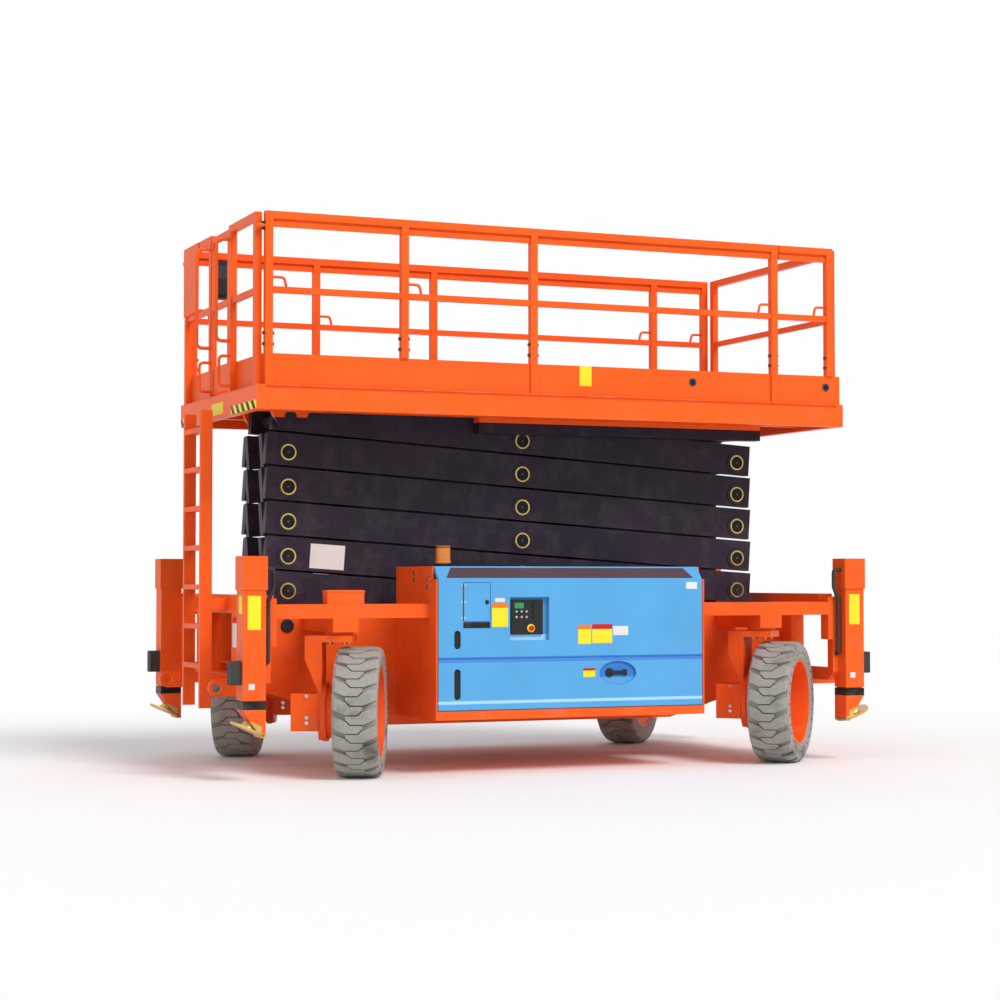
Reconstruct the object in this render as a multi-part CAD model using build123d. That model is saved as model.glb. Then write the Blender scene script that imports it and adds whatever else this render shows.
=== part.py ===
"""Rough-terrain scissor lift: steered chassis, six-level scissor stack, railed platform.

Millimetres, +Z up, +X towards the front, origin on the floor below the chassis centre.
"""
from math import atan2, cos, degrees, hypot, radians, sin
import os

from build123d import *

# Scissor stack
LEVELS = 6
PIN_SPAN = 3426.0
LEVEL_PITCH = 233.0
BASE_PIN_Z = 963.0
RAISED_ANGLE = 65.0
OUTER_ARM_IN = 215.0
ARM_THICK = 70.0
ARM_PLANE_GAP = 10.0
ARM_BELOW = 89.0
ARM_ABOVE = 129.0
INNER_HALF_DEPTH = 70.0
REAR_OVERHANG = 155.0
FRONT_OVERHANG = 108.0
TOP_ARM_OVERHANG = 110.0
ARM_CORNER = 60.0
INNER_END_LENGTH = 120.0
INNER_END_TAPER = 180.0
INNER_END_ABOVE = 138.0
PIN_R = 42.0
PIN_CLEARANCE = 0.3
BOSS_R = 75.0
BOSS_PROUD = 6.0
PIN_PROUD = 10.0
CROSS_TUBE_R = 38.0
CROSS_TUBE_INSET = 300.0
SLIDER_R = 55.0
SLIDER_WIDTH = 75.0
SLIDER_PLAY = 2.0

# Lift cylinders
CYLINDER_LEVELS = (1, 4)
BARREL_EYE_ALONG = 600.0
BARREL_EYE_OFFSET = -30.0
ROD_PIN_FROM_FRONT = 534.0
ROD_PIN_OFFSET = 44.0
BARREL_R = 75.0
BARREL_LENGTH = 1320.0
ROD_R = 47.0
ROD_TAIL = 250.0
EYE_R = 66.0
EYE_HALF_WIDTH = 45.0
SADDLE_ARC = 100.0
GLAND_LENGTH = 90.0
GLAND_R = 84.0

# Chassis
BEAM_IN = 300.0
BEAM_OUT = 400.0
BEAM_TOP = 1062.0
BELLY_Z = 290.0
BELLY_HALF_LENGTH = 1100.0
BEAM_END_Z = 560.0
BEAM_END_X = 2010.0
PLATE = 12.0
TROUGH_FLOOR_Z = 700.0
END_BEAM_X = 2114.0
END_BEAM_LOW = 1048.0
END_BEAM_HIGH = 1172.0
END_SILL_LOW = 560.0
END_SILL_HIGH = 650.0
END_WEB_IN = 330.0
END_WEB_OUT = 560.0
RAIL_LOW = 1024.0
RAIL_HIGH = 1115.0
RAIL_IN = 950.0
RAIL_OUT = 1050.0
LUG_Y = 640.0
LUG_REACH = 241.0
LUG_THICK = 30.0
LUG_HOLE_R = 32.0
LUG_Z = 575.0
LUG_R = 55.0

# Stabilizers
SLEEVE_X = 2188.5
SLEEVE_Y = 1055.5
SLEEVE_SIDE = 149.0
SLEEVE_WALL = 10.0
SLEEVE_LOW = 514.0
SLEEVE_HIGH = 1207.0
CAP_SIDE = 165.0
CAP_HIGH = 1420.0
CAP_WALL = 12.0
LEG_CLEARANCE = 0.3
LEG_TOP = 1160.0
COLLAR_LOW = 458.0
COLLAR_HIGH = 508.0
TIP_LOW = 281.0
FOOT_R = 120.0
FOOT_THICK = 14.0
FOOT_TILT = 24.0
FOOT_OUT = 20.0
FOOT_Z = 331.0
BUMPER_DEPTH = 70.0
BUMPER_LOW = 612.0
BUMPER_HIGH = 762.0
BUMPER_WIDTH = 90.0

# Wheels and steering
KINGPIN_X = 1560.0
KINGPIN_Y = 910.0
AXLE_BEAM_HALF = 85.0
AXLE_BEAM_LOW = 935.0
KINGPIN_R = 42.0
KINGPIN_BOSS_R = 95.0
KINGPIN_BOSS_DROP = 22.0
KNUCKLE_PLATE = 42.0
WHEEL_OFFSET = 140.0
WHEEL_CLEARANCE = 10.0
TYRE_R = 420.0
TYRE_WIDTH = 290.0
LUG_COUNT = 22
GROOVE_WIDTH = 40.0
GROOVE_BOTTOM_R = 394.0
GROOVE_SWEEP = 38.0
GROOVE_REACH = 92.0
SIPE_WIDTH = 8.0
SIPE_FLAT = 80.0
SIPE_RISE = 30.0
RIM_R = 292.0
RIM_WALL = 14.0
RIM_SIDE = 12.0
HUB_R = 190.0
REAR_STEER = 65.0
FRONT_STEER = 46.0

# Side trays and hoods
HOOD_HALF = 963.0
HOOD_FACE = 1150.0
HOOD_LOW = 423.0
HOOD_EDGE_Z = 1274.0
HOOD_TOP = 1359.0
HOOD_SHOULDER = 1075.0
HOOD_WALL = 24.0
HOOD_GAP = 5.0
HINGE_IN = 620.0
HINGE_OUT = 760.0
FUEL_DOOR_X = (-790.0, -600.0)
FUEL_DOOR_Z = (1000.0, 1252.0)
FUEL_DOOR_THICK = 12.0
DOOR_PLAY = 1.0
PANEL_X = (-459.0, -178.0)
PANEL_Z = (874.0, 1157.0)
PANEL_DEPTH = 40.0
PANEL_INSET = 18.0
HANDLE_SPOT = (325.0, 647.0)
HANDLE_SIZE = (272.0, 162.0)
HANDLE_DEPTH = 16.0
CREASE_Z = 750.0
CREASE = 12.0
SLOT_X = -830.0
SLOT_WIDTH = 46.0
SLOT_SPANS = ((820.0, 940.0), (490.0, 690.0))
LOUVRES = 7
LOUVRE_PITCH = 60.0
LOUVRE_LOW = 830.0
LOUVRE_X = (-620.0, 120.0)
HOSE_R = 14.0
HOSE_LOW = 750.0
BEACON_X = -747.0
BEACON_TOP = 1498.0
TRAY_LOW = 360.0
TRAY_HIGH = 418.0
BULKHEAD = 12.0

# Platform
DECK_REAR = -2132.0
DECK_FRONT = 2206.0
DECK_HALF = 962.0
DECK_LOW = 2360.0
DECK_BEAM_HIGH = 2494.0
FLOOR_LOW = 2512.0
FLOOR_HIGH = 2520.0
DECK_BEAM_WIDTH = 60.0
GROOVE_DEPTH = 10.0
TRACK_IN = 300.0
TRACK_OUT = 400.0
TRACK_LOW = 2285.0
TOE_HIGH = 2721.0
TOE_THICK = 20.0
TOE_INSET = 17.0
POST = 50.0
RAIL_TOP = 3634.0
RAIL_HEAD = 48.0
RAIL_GROOVE = 16.0
RAIL_LOWER = 34.0
RAIL_WEB = 24.0
MID_RAIL_Z = 3130.0
MID_RAIL = 40.0
END_FRONT_X = 2164.0
END_REAR_X = -2107.0
END_HALF = 870.0
GATE_NEAR = -290.0
GATE_FAR = 210.0

# Ladder
LADDER_X = (-2300.0, -2220.0)
LADDER_HALF = 195.0
LADDER_LOW = 420.0
LADDER_HIGH = 2400.0
STRINGER = 34.0
RUNGS = 7
RUNG_FIRST = 697.0
RUNG_PITCH = 262.5
RUNG_HEIGHT = 34.0


def box(x0, x1, y0, y1, z0, z1):
    """Box between two corners."""
    return Pos((x0 + x1) / 2, (y0 + y1) / 2, (z0 + z1) / 2) * Box(abs(x1 - x0), abs(y1 - y0), abs(z1 - z0))


def face_of(points):
    """Flat face inside a closed outline."""
    return make_face(Polyline(*points, close=True))


def prism_x(points, x0, x1):
    """Outline in Y and Z, pushed along X."""
    return extrude(Plane.YZ.offset(x0) * face_of(points), amount=x1 - x0)


def prism_y(points, y0, y1):
    """Outline in X and Z, pushed along Y."""
    return extrude(Plane.XZ.offset(-y1) * face_of(points), amount=y1 - y0)


def prism_z(points, z0, z1):
    """Outline in X and Y, pushed along Z."""
    return extrude(Plane.XY.offset(z0) * face_of(points), amount=z1 - z0)


def rod_x(y, z, r, x0, x1):
    """Round bar along X."""
    return Pos((x0 + x1) / 2, y, z) * Rot(0, 90, 0) * Cylinder(r, x1 - x0)


def rod_y(x, z, r, y0, y1):
    """Round bar along Y."""
    return Pos(x, (y0 + y1) / 2, z) * Rot(90, 0, 0) * Cylinder(r, y1 - y0)


def rod_z(x, y, r, z0, z1):
    """Round bar along Z."""
    return Pos(x, y, (z0 + z1) / 2) * Cylinder(r, z1 - z0)


def fuse(shapes):
    """One solid from pieces that meet."""
    return shapes[0] + list(shapes[1:])


def mirrored(shape):
    """The same piece on the other side of the machine."""
    return mirror(shape, about=Plane.XZ)


def both_sides(shape):
    """A piece and its mirror image across the machine."""
    return [shape, mirrored(shape)]


def ends(shape):
    """A piece and its mirror image at the other end of the machine."""
    return [shape, mirror(shape, about=Plane.YZ)]


def save(name, shapes):
    """Write the solids of one named piece."""
    solids = [s for shape in shapes for s in shape.solids()]
    export_step(Compound(children=solids) if len(solids) > 1 else solids[0], f"parts/{name}.step")


# Scissor stack geometry worked out from the driving sizes
ARM_LENGTH = hypot(PIN_SPAN, LEVEL_PITCH)
REST_ANGLE = degrees(atan2(LEVEL_PITCH, PIN_SPAN))
REAR_PIN_X = -PIN_SPAN / 2
FRONT_PIN_X = PIN_SPAN / 2
OUTER_ARM_OUT = OUTER_ARM_IN + ARM_THICK
INNER_ARM_OUT = OUTER_ARM_IN - ARM_PLANE_GAP
INNER_ARM_IN = INNER_ARM_OUT - ARM_THICK
BORE_R = PIN_R + PIN_CLEARANCE
TOP_PIN_Z = BASE_PIN_Z + LEVELS * LEVEL_PITCH
SLIDER_IN = BEAM_IN + 4.0
SLIDER_OUT = SLIDER_IN + SLIDER_WIDTH
TRACK_HALF = SLIDER_R + SLIDER_PLAY


def arm_place(level, rising):
    """Rest place of an arm whose drawing has its rear pin at the origin and its pin line along X."""
    if rising:
        return Pos(REAR_PIN_X, 0, BASE_PIN_Z + (level - 1) * LEVEL_PITCH) * Rot(0, -REST_ANGLE, 0)
    return Pos(REAR_PIN_X, 0, BASE_PIN_Z + level * LEVEL_PITCH) * Rot(0, REST_ANGLE, 0)


def outer_arms(level):
    """Falling pair of box arms with its end shafts, centre stubs and pin caps."""
    rear = TOP_ARM_OVERHANG if level == LEVELS else REAR_OVERHANG
    corner = ARM_CORNER if level == LEVELS else PLATE
    outline = [
        (-rear, -ARM_BELOW), (ARM_LENGTH + FRONT_OVERHANG, -ARM_BELOW),
        (ARM_LENGTH + FRONT_OVERHANG, ARM_ABOVE), (corner - rear, ARM_ABOVE), (-rear, ARM_ABOVE - corner),
    ]
    pieces = both_sides(prism_y(outline, OUTER_ARM_IN, OUTER_ARM_OUT))
    rear_reach = TRACK_IN + 45.0 if level == LEVELS else OUTER_ARM_OUT + PIN_PROUD
    front_reach = SLIDER_OUT if level == 1 else OUTER_ARM_OUT + PIN_PROUD
    pieces.append(rod_y(0, 0, PIN_R, -rear_reach, rear_reach))
    pieces.append(rod_y(ARM_LENGTH, 0, PIN_R, -front_reach, front_reach))
    if level == 1:
        pieces += both_sides(rod_y(ARM_LENGTH, 0, SLIDER_R, SLIDER_IN, SLIDER_OUT))
    for along in (0, ARM_LENGTH / 2, ARM_LENGTH):
        pieces += both_sides(rod_y(along, 0, BOSS_R, OUTER_ARM_IN, OUTER_ARM_OUT + BOSS_PROUD))
    pieces += both_sides(rod_y(ARM_LENGTH / 2, 0, PIN_R, INNER_ARM_IN, OUTER_ARM_OUT + PIN_PROUD))
    if level - 1 in CYLINDER_LEVELS:
        pieces.append(rod_y(ARM_LENGTH - ROD_PIN_FROM_FRONT, ROD_PIN_OFFSET, CROSS_TUBE_R, -OUTER_ARM_IN, OUTER_ARM_IN))
    return arm_place(level, False) * fuse(pieces)


def inner_arms(level):
    """Rising pair of arms, tied by cross tubes and bored for the pins of the outer arms."""
    outline = [
        (-REAR_OVERHANG, -ARM_BELOW), (INNER_END_LENGTH, -ARM_BELOW),
        (INNER_END_LENGTH + INNER_END_TAPER, -INNER_HALF_DEPTH),
        (ARM_LENGTH + FRONT_OVERHANG, -INNER_HALF_DEPTH), (ARM_LENGTH + FRONT_OVERHANG, INNER_HALF_DEPTH),
        (INNER_END_LENGTH + INNER_END_TAPER, INNER_HALF_DEPTH),
        (INNER_END_LENGTH, INNER_END_ABOVE), (-REAR_OVERHANG, INNER_END_ABOVE),
    ]
    side = prism_y(outline, INNER_ARM_IN, INNER_ARM_OUT)
    bored = [0, ARM_LENGTH / 2] + ([ARM_LENGTH] if level < LEVELS else [])
    for along in bored:
        side -= rod_y(along, 0, BORE_R, INNER_ARM_IN - 1, INNER_ARM_OUT + 1)
    pieces = both_sides(side)
    pieces.append(rod_y(ARM_LENGTH - CROSS_TUBE_INSET, 0, CROSS_TUBE_R, -INNER_ARM_IN, INNER_ARM_IN))
    if level in CYLINDER_LEVELS:
        pieces.append(rod_y(BARREL_EYE_ALONG, BARREL_EYE_OFFSET, CROSS_TUBE_R, -INNER_ARM_IN, INNER_ARM_IN))
    else:
        pieces.append(rod_y(CROSS_TUBE_INSET, 0, CROSS_TUBE_R, -INNER_ARM_IN, INNER_ARM_IN))
    if level == LEVELS:
        pieces.append(rod_y(ARM_LENGTH, 0, PIN_R, -SLIDER_OUT, SLIDER_OUT))
        pieces += both_sides(rod_y(ARM_LENGTH, 0, SLIDER_R, SLIDER_IN, SLIDER_OUT))
    return arm_place(level, True) * fuse(pieces)


def along_arm(level, rising, along, offset):
    """Rest point on an arm, as X and Z."""
    spot = arm_place(level, rising) * Pos(along, 0, offset)
    return spot.position.X, spot.position.Z


def cylinder_ends(level):
    """Rest places of a lift cylinder's two eyes."""
    eye = along_arm(level, True, BARREL_EYE_ALONG, BARREL_EYE_OFFSET)
    pin = along_arm(level + 1, False, ARM_LENGTH - ROD_PIN_FROM_FRONT, ROD_PIN_OFFSET)
    return eye, pin


def cylinder_place(level):
    """Place of a cylinder drawn along X from its barrel eye, and its closed length."""
    eye, pin = cylinder_ends(level)
    slope = degrees(atan2(pin[1] - eye[1], pin[0] - eye[0]))
    return Pos(eye[0], 0, eye[1]) * Rot(0, -slope, 0), hypot(pin[0] - eye[0], pin[1] - eye[1])


def barrel(level):
    """Cylinder barrel with its eye and rod gland, hollow for the rod."""
    place, _ = cylinder_place(level)
    eye_bore = CROSS_TUBE_R + PIN_CLEARANCE
    body = fuse([
        rod_y(0, 0, EYE_R, -EYE_HALF_WIDTH, EYE_HALF_WIDTH),
        rod_x(0, 0, BARREL_R, EYE_R * 0.7, BARREL_LENGTH),
        rod_x(0, 0, GLAND_R, BARREL_LENGTH - GLAND_LENGTH, BARREL_LENGTH),
    ])
    body -= rod_y(0, 0, eye_bore, -BARREL_R - 1, BARREL_R + 1)
    body -= rod_x(0, 0, ROD_R + PIN_CLEARANCE, ROD_TAIL - 20, BARREL_LENGTH + 1)
    return place * body


def rod(level):
    """Piston rod that ends in an open saddle below its pin."""
    place, closed = cylinder_place(level)
    seat = CROSS_TUBE_R + PIN_CLEARANCE
    half = radians(SADDLE_ARC / 2)
    far = 3 * EYE_R
    wedge = prism_y([(0, 0), (-far * sin(half), -far * cos(half)), (0, -far), (far * sin(half), -far * cos(half))],
                    -EYE_HALF_WIDTH - 1, EYE_HALF_WIDTH + 1)
    ring = rod_y(0, 0, EYE_R, -EYE_HALF_WIDTH, EYE_HALF_WIDTH)
    saddle = Pos(closed, 0, 0) * ((ring & wedge) - rod_y(0, 0, seat, -far, far))
    low = -EYE_R * cos(half / 2)
    neck = prism_y([(closed - 3.2 * EYE_R, ROD_R * 0.5), (closed - 1.6 * EYE_R, -seat * 0.4), (closed - seat * 0.9, -seat * 0.75),
                    (closed - 8, low), (closed - 1.6 * EYE_R, low), (closed - 3.2 * EYE_R, -ROD_R * 0.5)],
                   -ROD_R * 0.7, ROD_R * 0.7)
    neck -= rod_y(closed, 0, seat, -far, far)
    shank = rod_x(0, 0, ROD_R, ROD_TAIL, closed - 3 * EYE_R)
    return place * fuse([shank, neck, saddle])


# Platform places worked out from the driving sizes
POST_OUT = DECK_HALF
POST_IN = DECK_HALF - POST
POST_TOP = RAIL_TOP - RAIL_HEAD
LOWER_BAR_LOW = POST_TOP - RAIL_GROOVE - RAIL_LOWER
RAIL_MID_Y = (POST_IN + POST_OUT) / 2
FULL_POSTS_X = (-2051.0, -200.0, 1652.0)
SHORT_POSTS_X = (-1125.0, 2102.0)
NEAR_JOIN_X = 1685.0
SIDE_REAR_X = FULL_POSTS_X[0] - POST / 2
SIDE_FRONT_X = SHORT_POSTS_X[1] + POST / 2
JOIN_GAP = 8.0
END_POSTS_Y = (-END_HALF, END_HALF)
GATE_GAP = 6.0
GATE_LOW = FLOOR_HIGH + 20.0
GATE_TOP = RAIL_TOP - 20.0
GATE_BAR = 40.0
MID_RAIL_LOW = MID_RAIL_Z - MID_RAIL / 2
MID_RAIL_HIGH = MID_RAIL_Z + MID_RAIL / 2
CONTROL_BOX_LOW = LOWER_BAR_LOW - 246.0


def deck_frame():
    """Edge beams, cross beams, slide tracks, pivot brackets and floor plate, as one welded frame."""
    edge = DECK_BEAM_WIDTH
    pieces = [
        box(DECK_REAR, DECK_REAR + edge, -DECK_HALF, DECK_HALF, DECK_LOW, FLOOR_LOW),
        box(DECK_FRONT - edge, DECK_FRONT, -DECK_HALF, DECK_HALF, DECK_LOW, FLOOR_LOW),
    ]
    side = box(DECK_REAR, DECK_FRONT, DECK_HALF - edge, DECK_HALF, DECK_LOW, FLOOR_LOW)
    side -= box(DECK_REAR, DECK_FRONT, DECK_HALF - GROOVE_DEPTH, DECK_HALF, DECK_BEAM_HIGH, FLOOR_LOW)
    pieces += both_sides(side)
    track_rear = REAR_PIN_X + ARM_LENGTH * cos(radians(RAISED_ANGLE)) - 2 * SLIDER_R
    track_front = FRONT_PIN_X + 2.5 * SLIDER_R
    track = box(track_rear, track_front, TRACK_IN, TRACK_OUT, TRACK_LOW, FLOOR_LOW)
    track -= box(track_rear + SLIDER_R - PLATE, track_front - SLIDER_R + PLATE, TRACK_IN, SLIDER_OUT + SLIDER_PLAY,
                 TOP_PIN_Z - TRACK_HALF, TOP_PIN_Z + TRACK_HALF)
    pieces += both_sides(track)
    ear = prism_y([(REAR_PIN_X - 190, FLOOR_LOW), (REAR_PIN_X - BOSS_R, TOP_PIN_Z - BOSS_R),
                   (REAR_PIN_X + BOSS_R, TOP_PIN_Z - BOSS_R), (REAR_PIN_X + 190, FLOOR_LOW)],
                  TRACK_IN, TRACK_IN + 40)
    ear -= rod_y(REAR_PIN_X, TOP_PIN_Z, BORE_R, TRACK_IN - 1, TRACK_IN + 60)
    ear += box(REAR_PIN_X - 190, REAR_PIN_X + 190, TRACK_IN + 40, TRACK_OUT, FLOOR_LOW - 40, FLOOR_LOW)
    pieces += both_sides(ear)
    beam = box(DECK_REAR, DECK_FRONT, TRACK_OUT, TRACK_OUT + edge, DECK_LOW + 30, FLOOR_LOW)
    pieces += both_sides(beam)
    for x in (-1500.0, -500.0, 500.0, 1500.0):
        pieces += both_sides(box(x, x + edge, TRACK_OUT, DECK_HALF - edge, DECK_LOW + 30, FLOOR_LOW))
    return fuse(pieces)


def deck_floor():
    """Chequer plate over the whole frame."""
    return box(DECK_REAR, DECK_FRONT, -DECK_HALF, DECK_HALF, FLOOR_LOW, FLOOR_HIGH)


def toe_boards():
    """Kick boards between the posts that reach the floor, along both sides and both ends."""
    out = DECK_HALF - TOE_INSET
    half = POST / 2
    front = DECK_FRONT - TOE_INSET
    stops = list(FULL_POSTS_X) + [front + half]
    boards = []
    for x0, x1 in zip(stops[:-1], stops[1:]):
        board = box(x0 + half, x1 - half, out - TOE_THICK, out, FLOOR_HIGH, TOE_HIGH)
        if x1 == stops[-1]:
            board += box(front - TOE_THICK, front, END_HALF + half, out, FLOOR_HIGH, TOE_HIGH)
        boards += both_sides(board)
    middle = END_HALF - half
    boards.append(box(front - TOE_THICK, front, -middle, middle, FLOOR_HIGH, TOE_HIGH))
    rear = END_REAR_X + half
    boards.append(box(rear, rear + TOE_THICK / 2, -POST_IN, GATE_NEAR - half, FLOOR_HIGH, TOE_HIGH))
    boards.append(box(rear, rear + TOE_THICK / 2, GATE_FAR + half, POST_IN, FLOOR_HIGH, TOE_HIGH))
    return boards


def side_post(x, low):
    """Side post whose forked top takes the rail's lower bar."""
    post = box(x - POST / 2, x + POST / 2, POST_IN, POST_OUT, low, POST_TOP)
    fork = RAIL_WEB / 2 + PIN_CLEARANCE
    return post - box(x - POST, x + POST, RAIL_MID_Y - fork, RAIL_MID_Y + fork, LOWER_BAR_LOW - PIN_CLEARANCE, POST_TOP)


def rail_posts():
    """All upright posts of the guard rail."""
    posts = []
    for x in FULL_POSTS_X:
        posts += both_sides(side_post(x, FLOOR_HIGH))
    for x in SHORT_POSTS_X:
        posts += both_sides(side_post(x, TOE_HIGH))
    half = POST / 2
    for y in END_POSTS_Y:
        posts.append(box(END_FRONT_X - half, END_FRONT_X + half - 5, y - half, y + half, FLOOR_HIGH, POST_TOP))
    for y in (*END_POSTS_Y, GATE_NEAR, GATE_FAR):
        posts.append(box(END_REAR_X - half + 5, END_REAR_X + half, y - half, y + half, FLOOR_HIGH, POST_TOP))
    return posts


def side_rail(x0, x1):
    """Grooved top rail: a head above a narrower lower bar."""
    web = RAIL_WEB / 2
    half = POST / 2
    y = RAIL_MID_Y
    neck = web - 6
    outline = [
        (y - half, RAIL_TOP), (y - half, POST_TOP), (y - neck, POST_TOP), (y - neck, POST_TOP - RAIL_GROOVE),
        (y - web, POST_TOP - RAIL_GROOVE), (y - web, LOWER_BAR_LOW), (y + web, LOWER_BAR_LOW),
        (y + web, POST_TOP - RAIL_GROOVE), (y + neck, POST_TOP - RAIL_GROOVE), (y + neck, POST_TOP),
        (y + half, POST_TOP), (y + half, RAIL_TOP),
    ]
    return prism_x(outline, x0, x1)


def mid_rails_along(stops):
    """Middle bars that fill the bays between side posts."""
    half = POST / 2
    return [box(x0 + half, x1 - half, RAIL_MID_Y - MID_RAIL / 2, RAIL_MID_Y + MID_RAIL / 2,
                MID_RAIL_Z - MID_RAIL / 2, MID_RAIL_Z + MID_RAIL / 2) for x0, x1 in zip(stops[:-1], stops[1:])]


def guard_rails():
    """Top and middle bars of all four sides."""
    half = POST / 2
    stops = sorted(FULL_POSTS_X + SHORT_POSTS_X)
    rails = [mirrored(side_rail(SIDE_REAR_X, NEAR_JOIN_X)), mirrored(side_rail(NEAR_JOIN_X + JOIN_GAP, SIDE_FRONT_X))]
    rails.append(side_rail(SIDE_REAR_X, SIDE_FRONT_X))
    for bar in mid_rails_along(stops):
        rails += both_sides(bar)
    low, high = MID_RAIL_Z - MID_RAIL / 2, MID_RAIL_Z + MID_RAIL / 2
    rails.append(box(END_FRONT_X - half, END_FRONT_X + half - 5, -END_HALF - half, END_HALF + half, POST_TOP, RAIL_TOP))
    rails.append(box(END_FRONT_X - 15, END_FRONT_X + 15, -END_HALF + half, END_HALF - half, low, high))
    for y0, y1 in ((-END_HALF, GATE_NEAR), (GATE_FAR, END_HALF)):
        rails.append(box(END_REAR_X - half + 5, END_REAR_X + half, y0 - half, y1 + half, POST_TOP, RAIL_TOP))
        rails.append(box(END_REAR_X - 10, END_REAR_X + 20, y0 + half, y1 - half, low, high))
    return rails


def hoop(x, y, low, high, reach, r):
    """Bent grab bar that stands out to the rear of a post."""
    bend = 3 * r
    path = FilletPolyline((x, y, low), (x - reach, y, low), (x - reach, y, high), (x, y, high), radius=bend)
    return sweep(Plane(origin=(x, y, low), z_dir=(-1, 0, 0)) * Circle(r), path=path)


def grab_hoops():
    """Tall and short grab bars on both entry posts."""
    x = END_REAR_X - POST / 2 + 5
    bars = []
    for y in (GATE_NEAR, GATE_FAR):
        bars.append(hoop(x, y, FLOOR_HIGH + 340, RAIL_TOP - 94, 90.0, 12.0))
        bars.append(hoop(x, y, FLOOR_HIGH + 40, FLOOR_HIGH + 240, 70.0, 10.0))
    return bars


def gate():
    """Entry gate with a top bar, a middle bar, a toe plate and its hinge stile."""
    half = POST / 2
    near, far = GATE_NEAR + half + GATE_GAP, GATE_FAR - half - 0.5
    x0, x1 = END_REAR_X - 15, END_REAR_X + 15
    low = GATE_LOW + 20
    frame = [
        box(x0, x1, near, far, GATE_TOP - GATE_BAR, GATE_TOP), box(x0, x1, near, far, MID_RAIL_LOW, MID_RAIL_HIGH),
        box(x0, x1, near, near + GATE_BAR, low, GATE_TOP), box(x0, x1, far - GATE_BAR, far, low, GATE_TOP),
        box(x0 + 8, x1 - 8, near, far, GATE_LOW, TOE_HIGH),
    ]
    return fuse(frame)


def end_panel():
    """Plain panel on the far side of the rear end frame."""
    out = END_HALF + POST / 2
    return box(END_REAR_X - 26, END_REAR_X - POST / 2 + 5, out - 395, out, MID_RAIL_HIGH, RAIL_TOP)


def control_box():
    """Platform control box with its sloped face, hung from the far rail's lower bar."""
    low = CONTROL_BOX_LOW
    back = POST_IN
    front = POST_IN - 122
    outline = [(back, low), (front + 10, low), (front, low + 30), (front, low + 140), (front + 45, low + 240), (back, low + 240)]
    x = FULL_POSTS_X[0] + 131
    hanger = box(x + 25, x + 105, back - 32, RAIL_MID_Y - RAIL_WEB / 2, low + 210, LOWER_BAR_LOW + RAIL_LOWER)
    return prism_x(outline, x, x + 130) + hanger


# Chassis places worked out from the driving sizes
SLIDE_REAR = REAR_PIN_X + ARM_LENGTH * cos(radians(RAISED_ANGLE)) - SLIDER_R - 4 * SLIDER_PLAY
SLIDE_FRONT = FRONT_PIN_X + SLIDER_R + 4 * SLIDER_PLAY
SLEEVE_IN_X = SLEEVE_X - SLEEVE_SIDE / 2
SLEEVE_OUT_X = SLEEVE_X + SLEEVE_SIDE / 2
SLEEVE_IN_Y = SLEEVE_Y - SLEEVE_SIDE / 2
LEG_SIDE = SLEEVE_SIDE - 2 * SLEEVE_WALL - 2 * LEG_CLEARANCE
BULKHEAD_X = HOOD_HALF + HOOD_GAP
WHEEL_SWING = hypot(WHEEL_OFFSET + TYRE_WIDTH / 2, TYRE_R) + WHEEL_CLEARANCE
KNUCKLE_TOP = AXLE_BEAM_LOW - KINGPIN_BOSS_DROP - PIN_CLEARANCE


def chassis_beams():
    """Two deep side beams with slide tracks, tied by the belly plate, trough floor and pivot shaft."""
    outline = [
        (-BEAM_END_X, BEAM_END_Z), (-BELLY_HALF_LENGTH, BELLY_Z), (BELLY_HALF_LENGTH, BELLY_Z),
        (BEAM_END_X, BEAM_END_Z), (BEAM_END_X, BEAM_TOP), (-BEAM_END_X, BEAM_TOP),
    ]
    side = prism_y(outline, BEAM_IN, BEAM_OUT)
    side -= box(SLIDE_REAR, SLIDE_FRONT, BEAM_IN, SLIDER_OUT + SLIDER_PLAY,
                BASE_PIN_Z - TRACK_HALF, BASE_PIN_Z + TRACK_HALF)
    pieces = both_sides(side)
    pieces.append(box(-BELLY_HALF_LENGTH, BELLY_HALF_LENGTH, -BEAM_IN, BEAM_IN, BELLY_Z, BELLY_Z + PLATE))
    pieces.append(box(-BEAM_END_X, BEAM_END_X, -BEAM_IN, BEAM_IN, TROUGH_FLOOR_Z, TROUGH_FLOOR_Z + PLATE))
    pieces.append(rod_y(REAR_PIN_X, BASE_PIN_Z, PIN_R, -BEAM_OUT, BEAM_OUT))
    return fuse(pieces)


def tie_lug(y):
    """D-shaped tie-down eye on the end of the frame."""
    x = END_BEAM_X + LUG_REACH - LUG_R
    low, high = LUG_Z - LUG_R, LUG_Z + LUG_R
    plate = fuse([box(END_BEAM_X, x, y - LUG_THICK / 2, y + LUG_THICK / 2, low, high),
                  rod_y(x, LUG_Z, LUG_R, y - LUG_THICK / 2, y + LUG_THICK / 2)])
    return plate - rod_y(x, LUG_Z, LUG_HOLE_R, y - LUG_THICK, y + LUG_THICK)


def wheel_room():
    """Space that the front wheels sweep when they steer, up to just above the tyres."""
    return both_sides(rod_z(KINGPIN_X, KINGPIN_Y, WHEEL_SWING, END_SILL_LOW - 1, 2 * TYRE_R + WHEEL_CLEARANCE))


def end_frame():
    """Top beam and sill of the front end frame."""
    top = box(BEAM_END_X, END_BEAM_X, -RAIL_IN, RAIL_IN, END_BEAM_LOW, END_BEAM_HIGH)
    sill = box(BEAM_END_X, END_BEAM_X, -RAIL_IN, RAIL_IN, END_SILL_LOW, END_SILL_HIGH)
    return [top, sill - wheel_room()]


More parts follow.
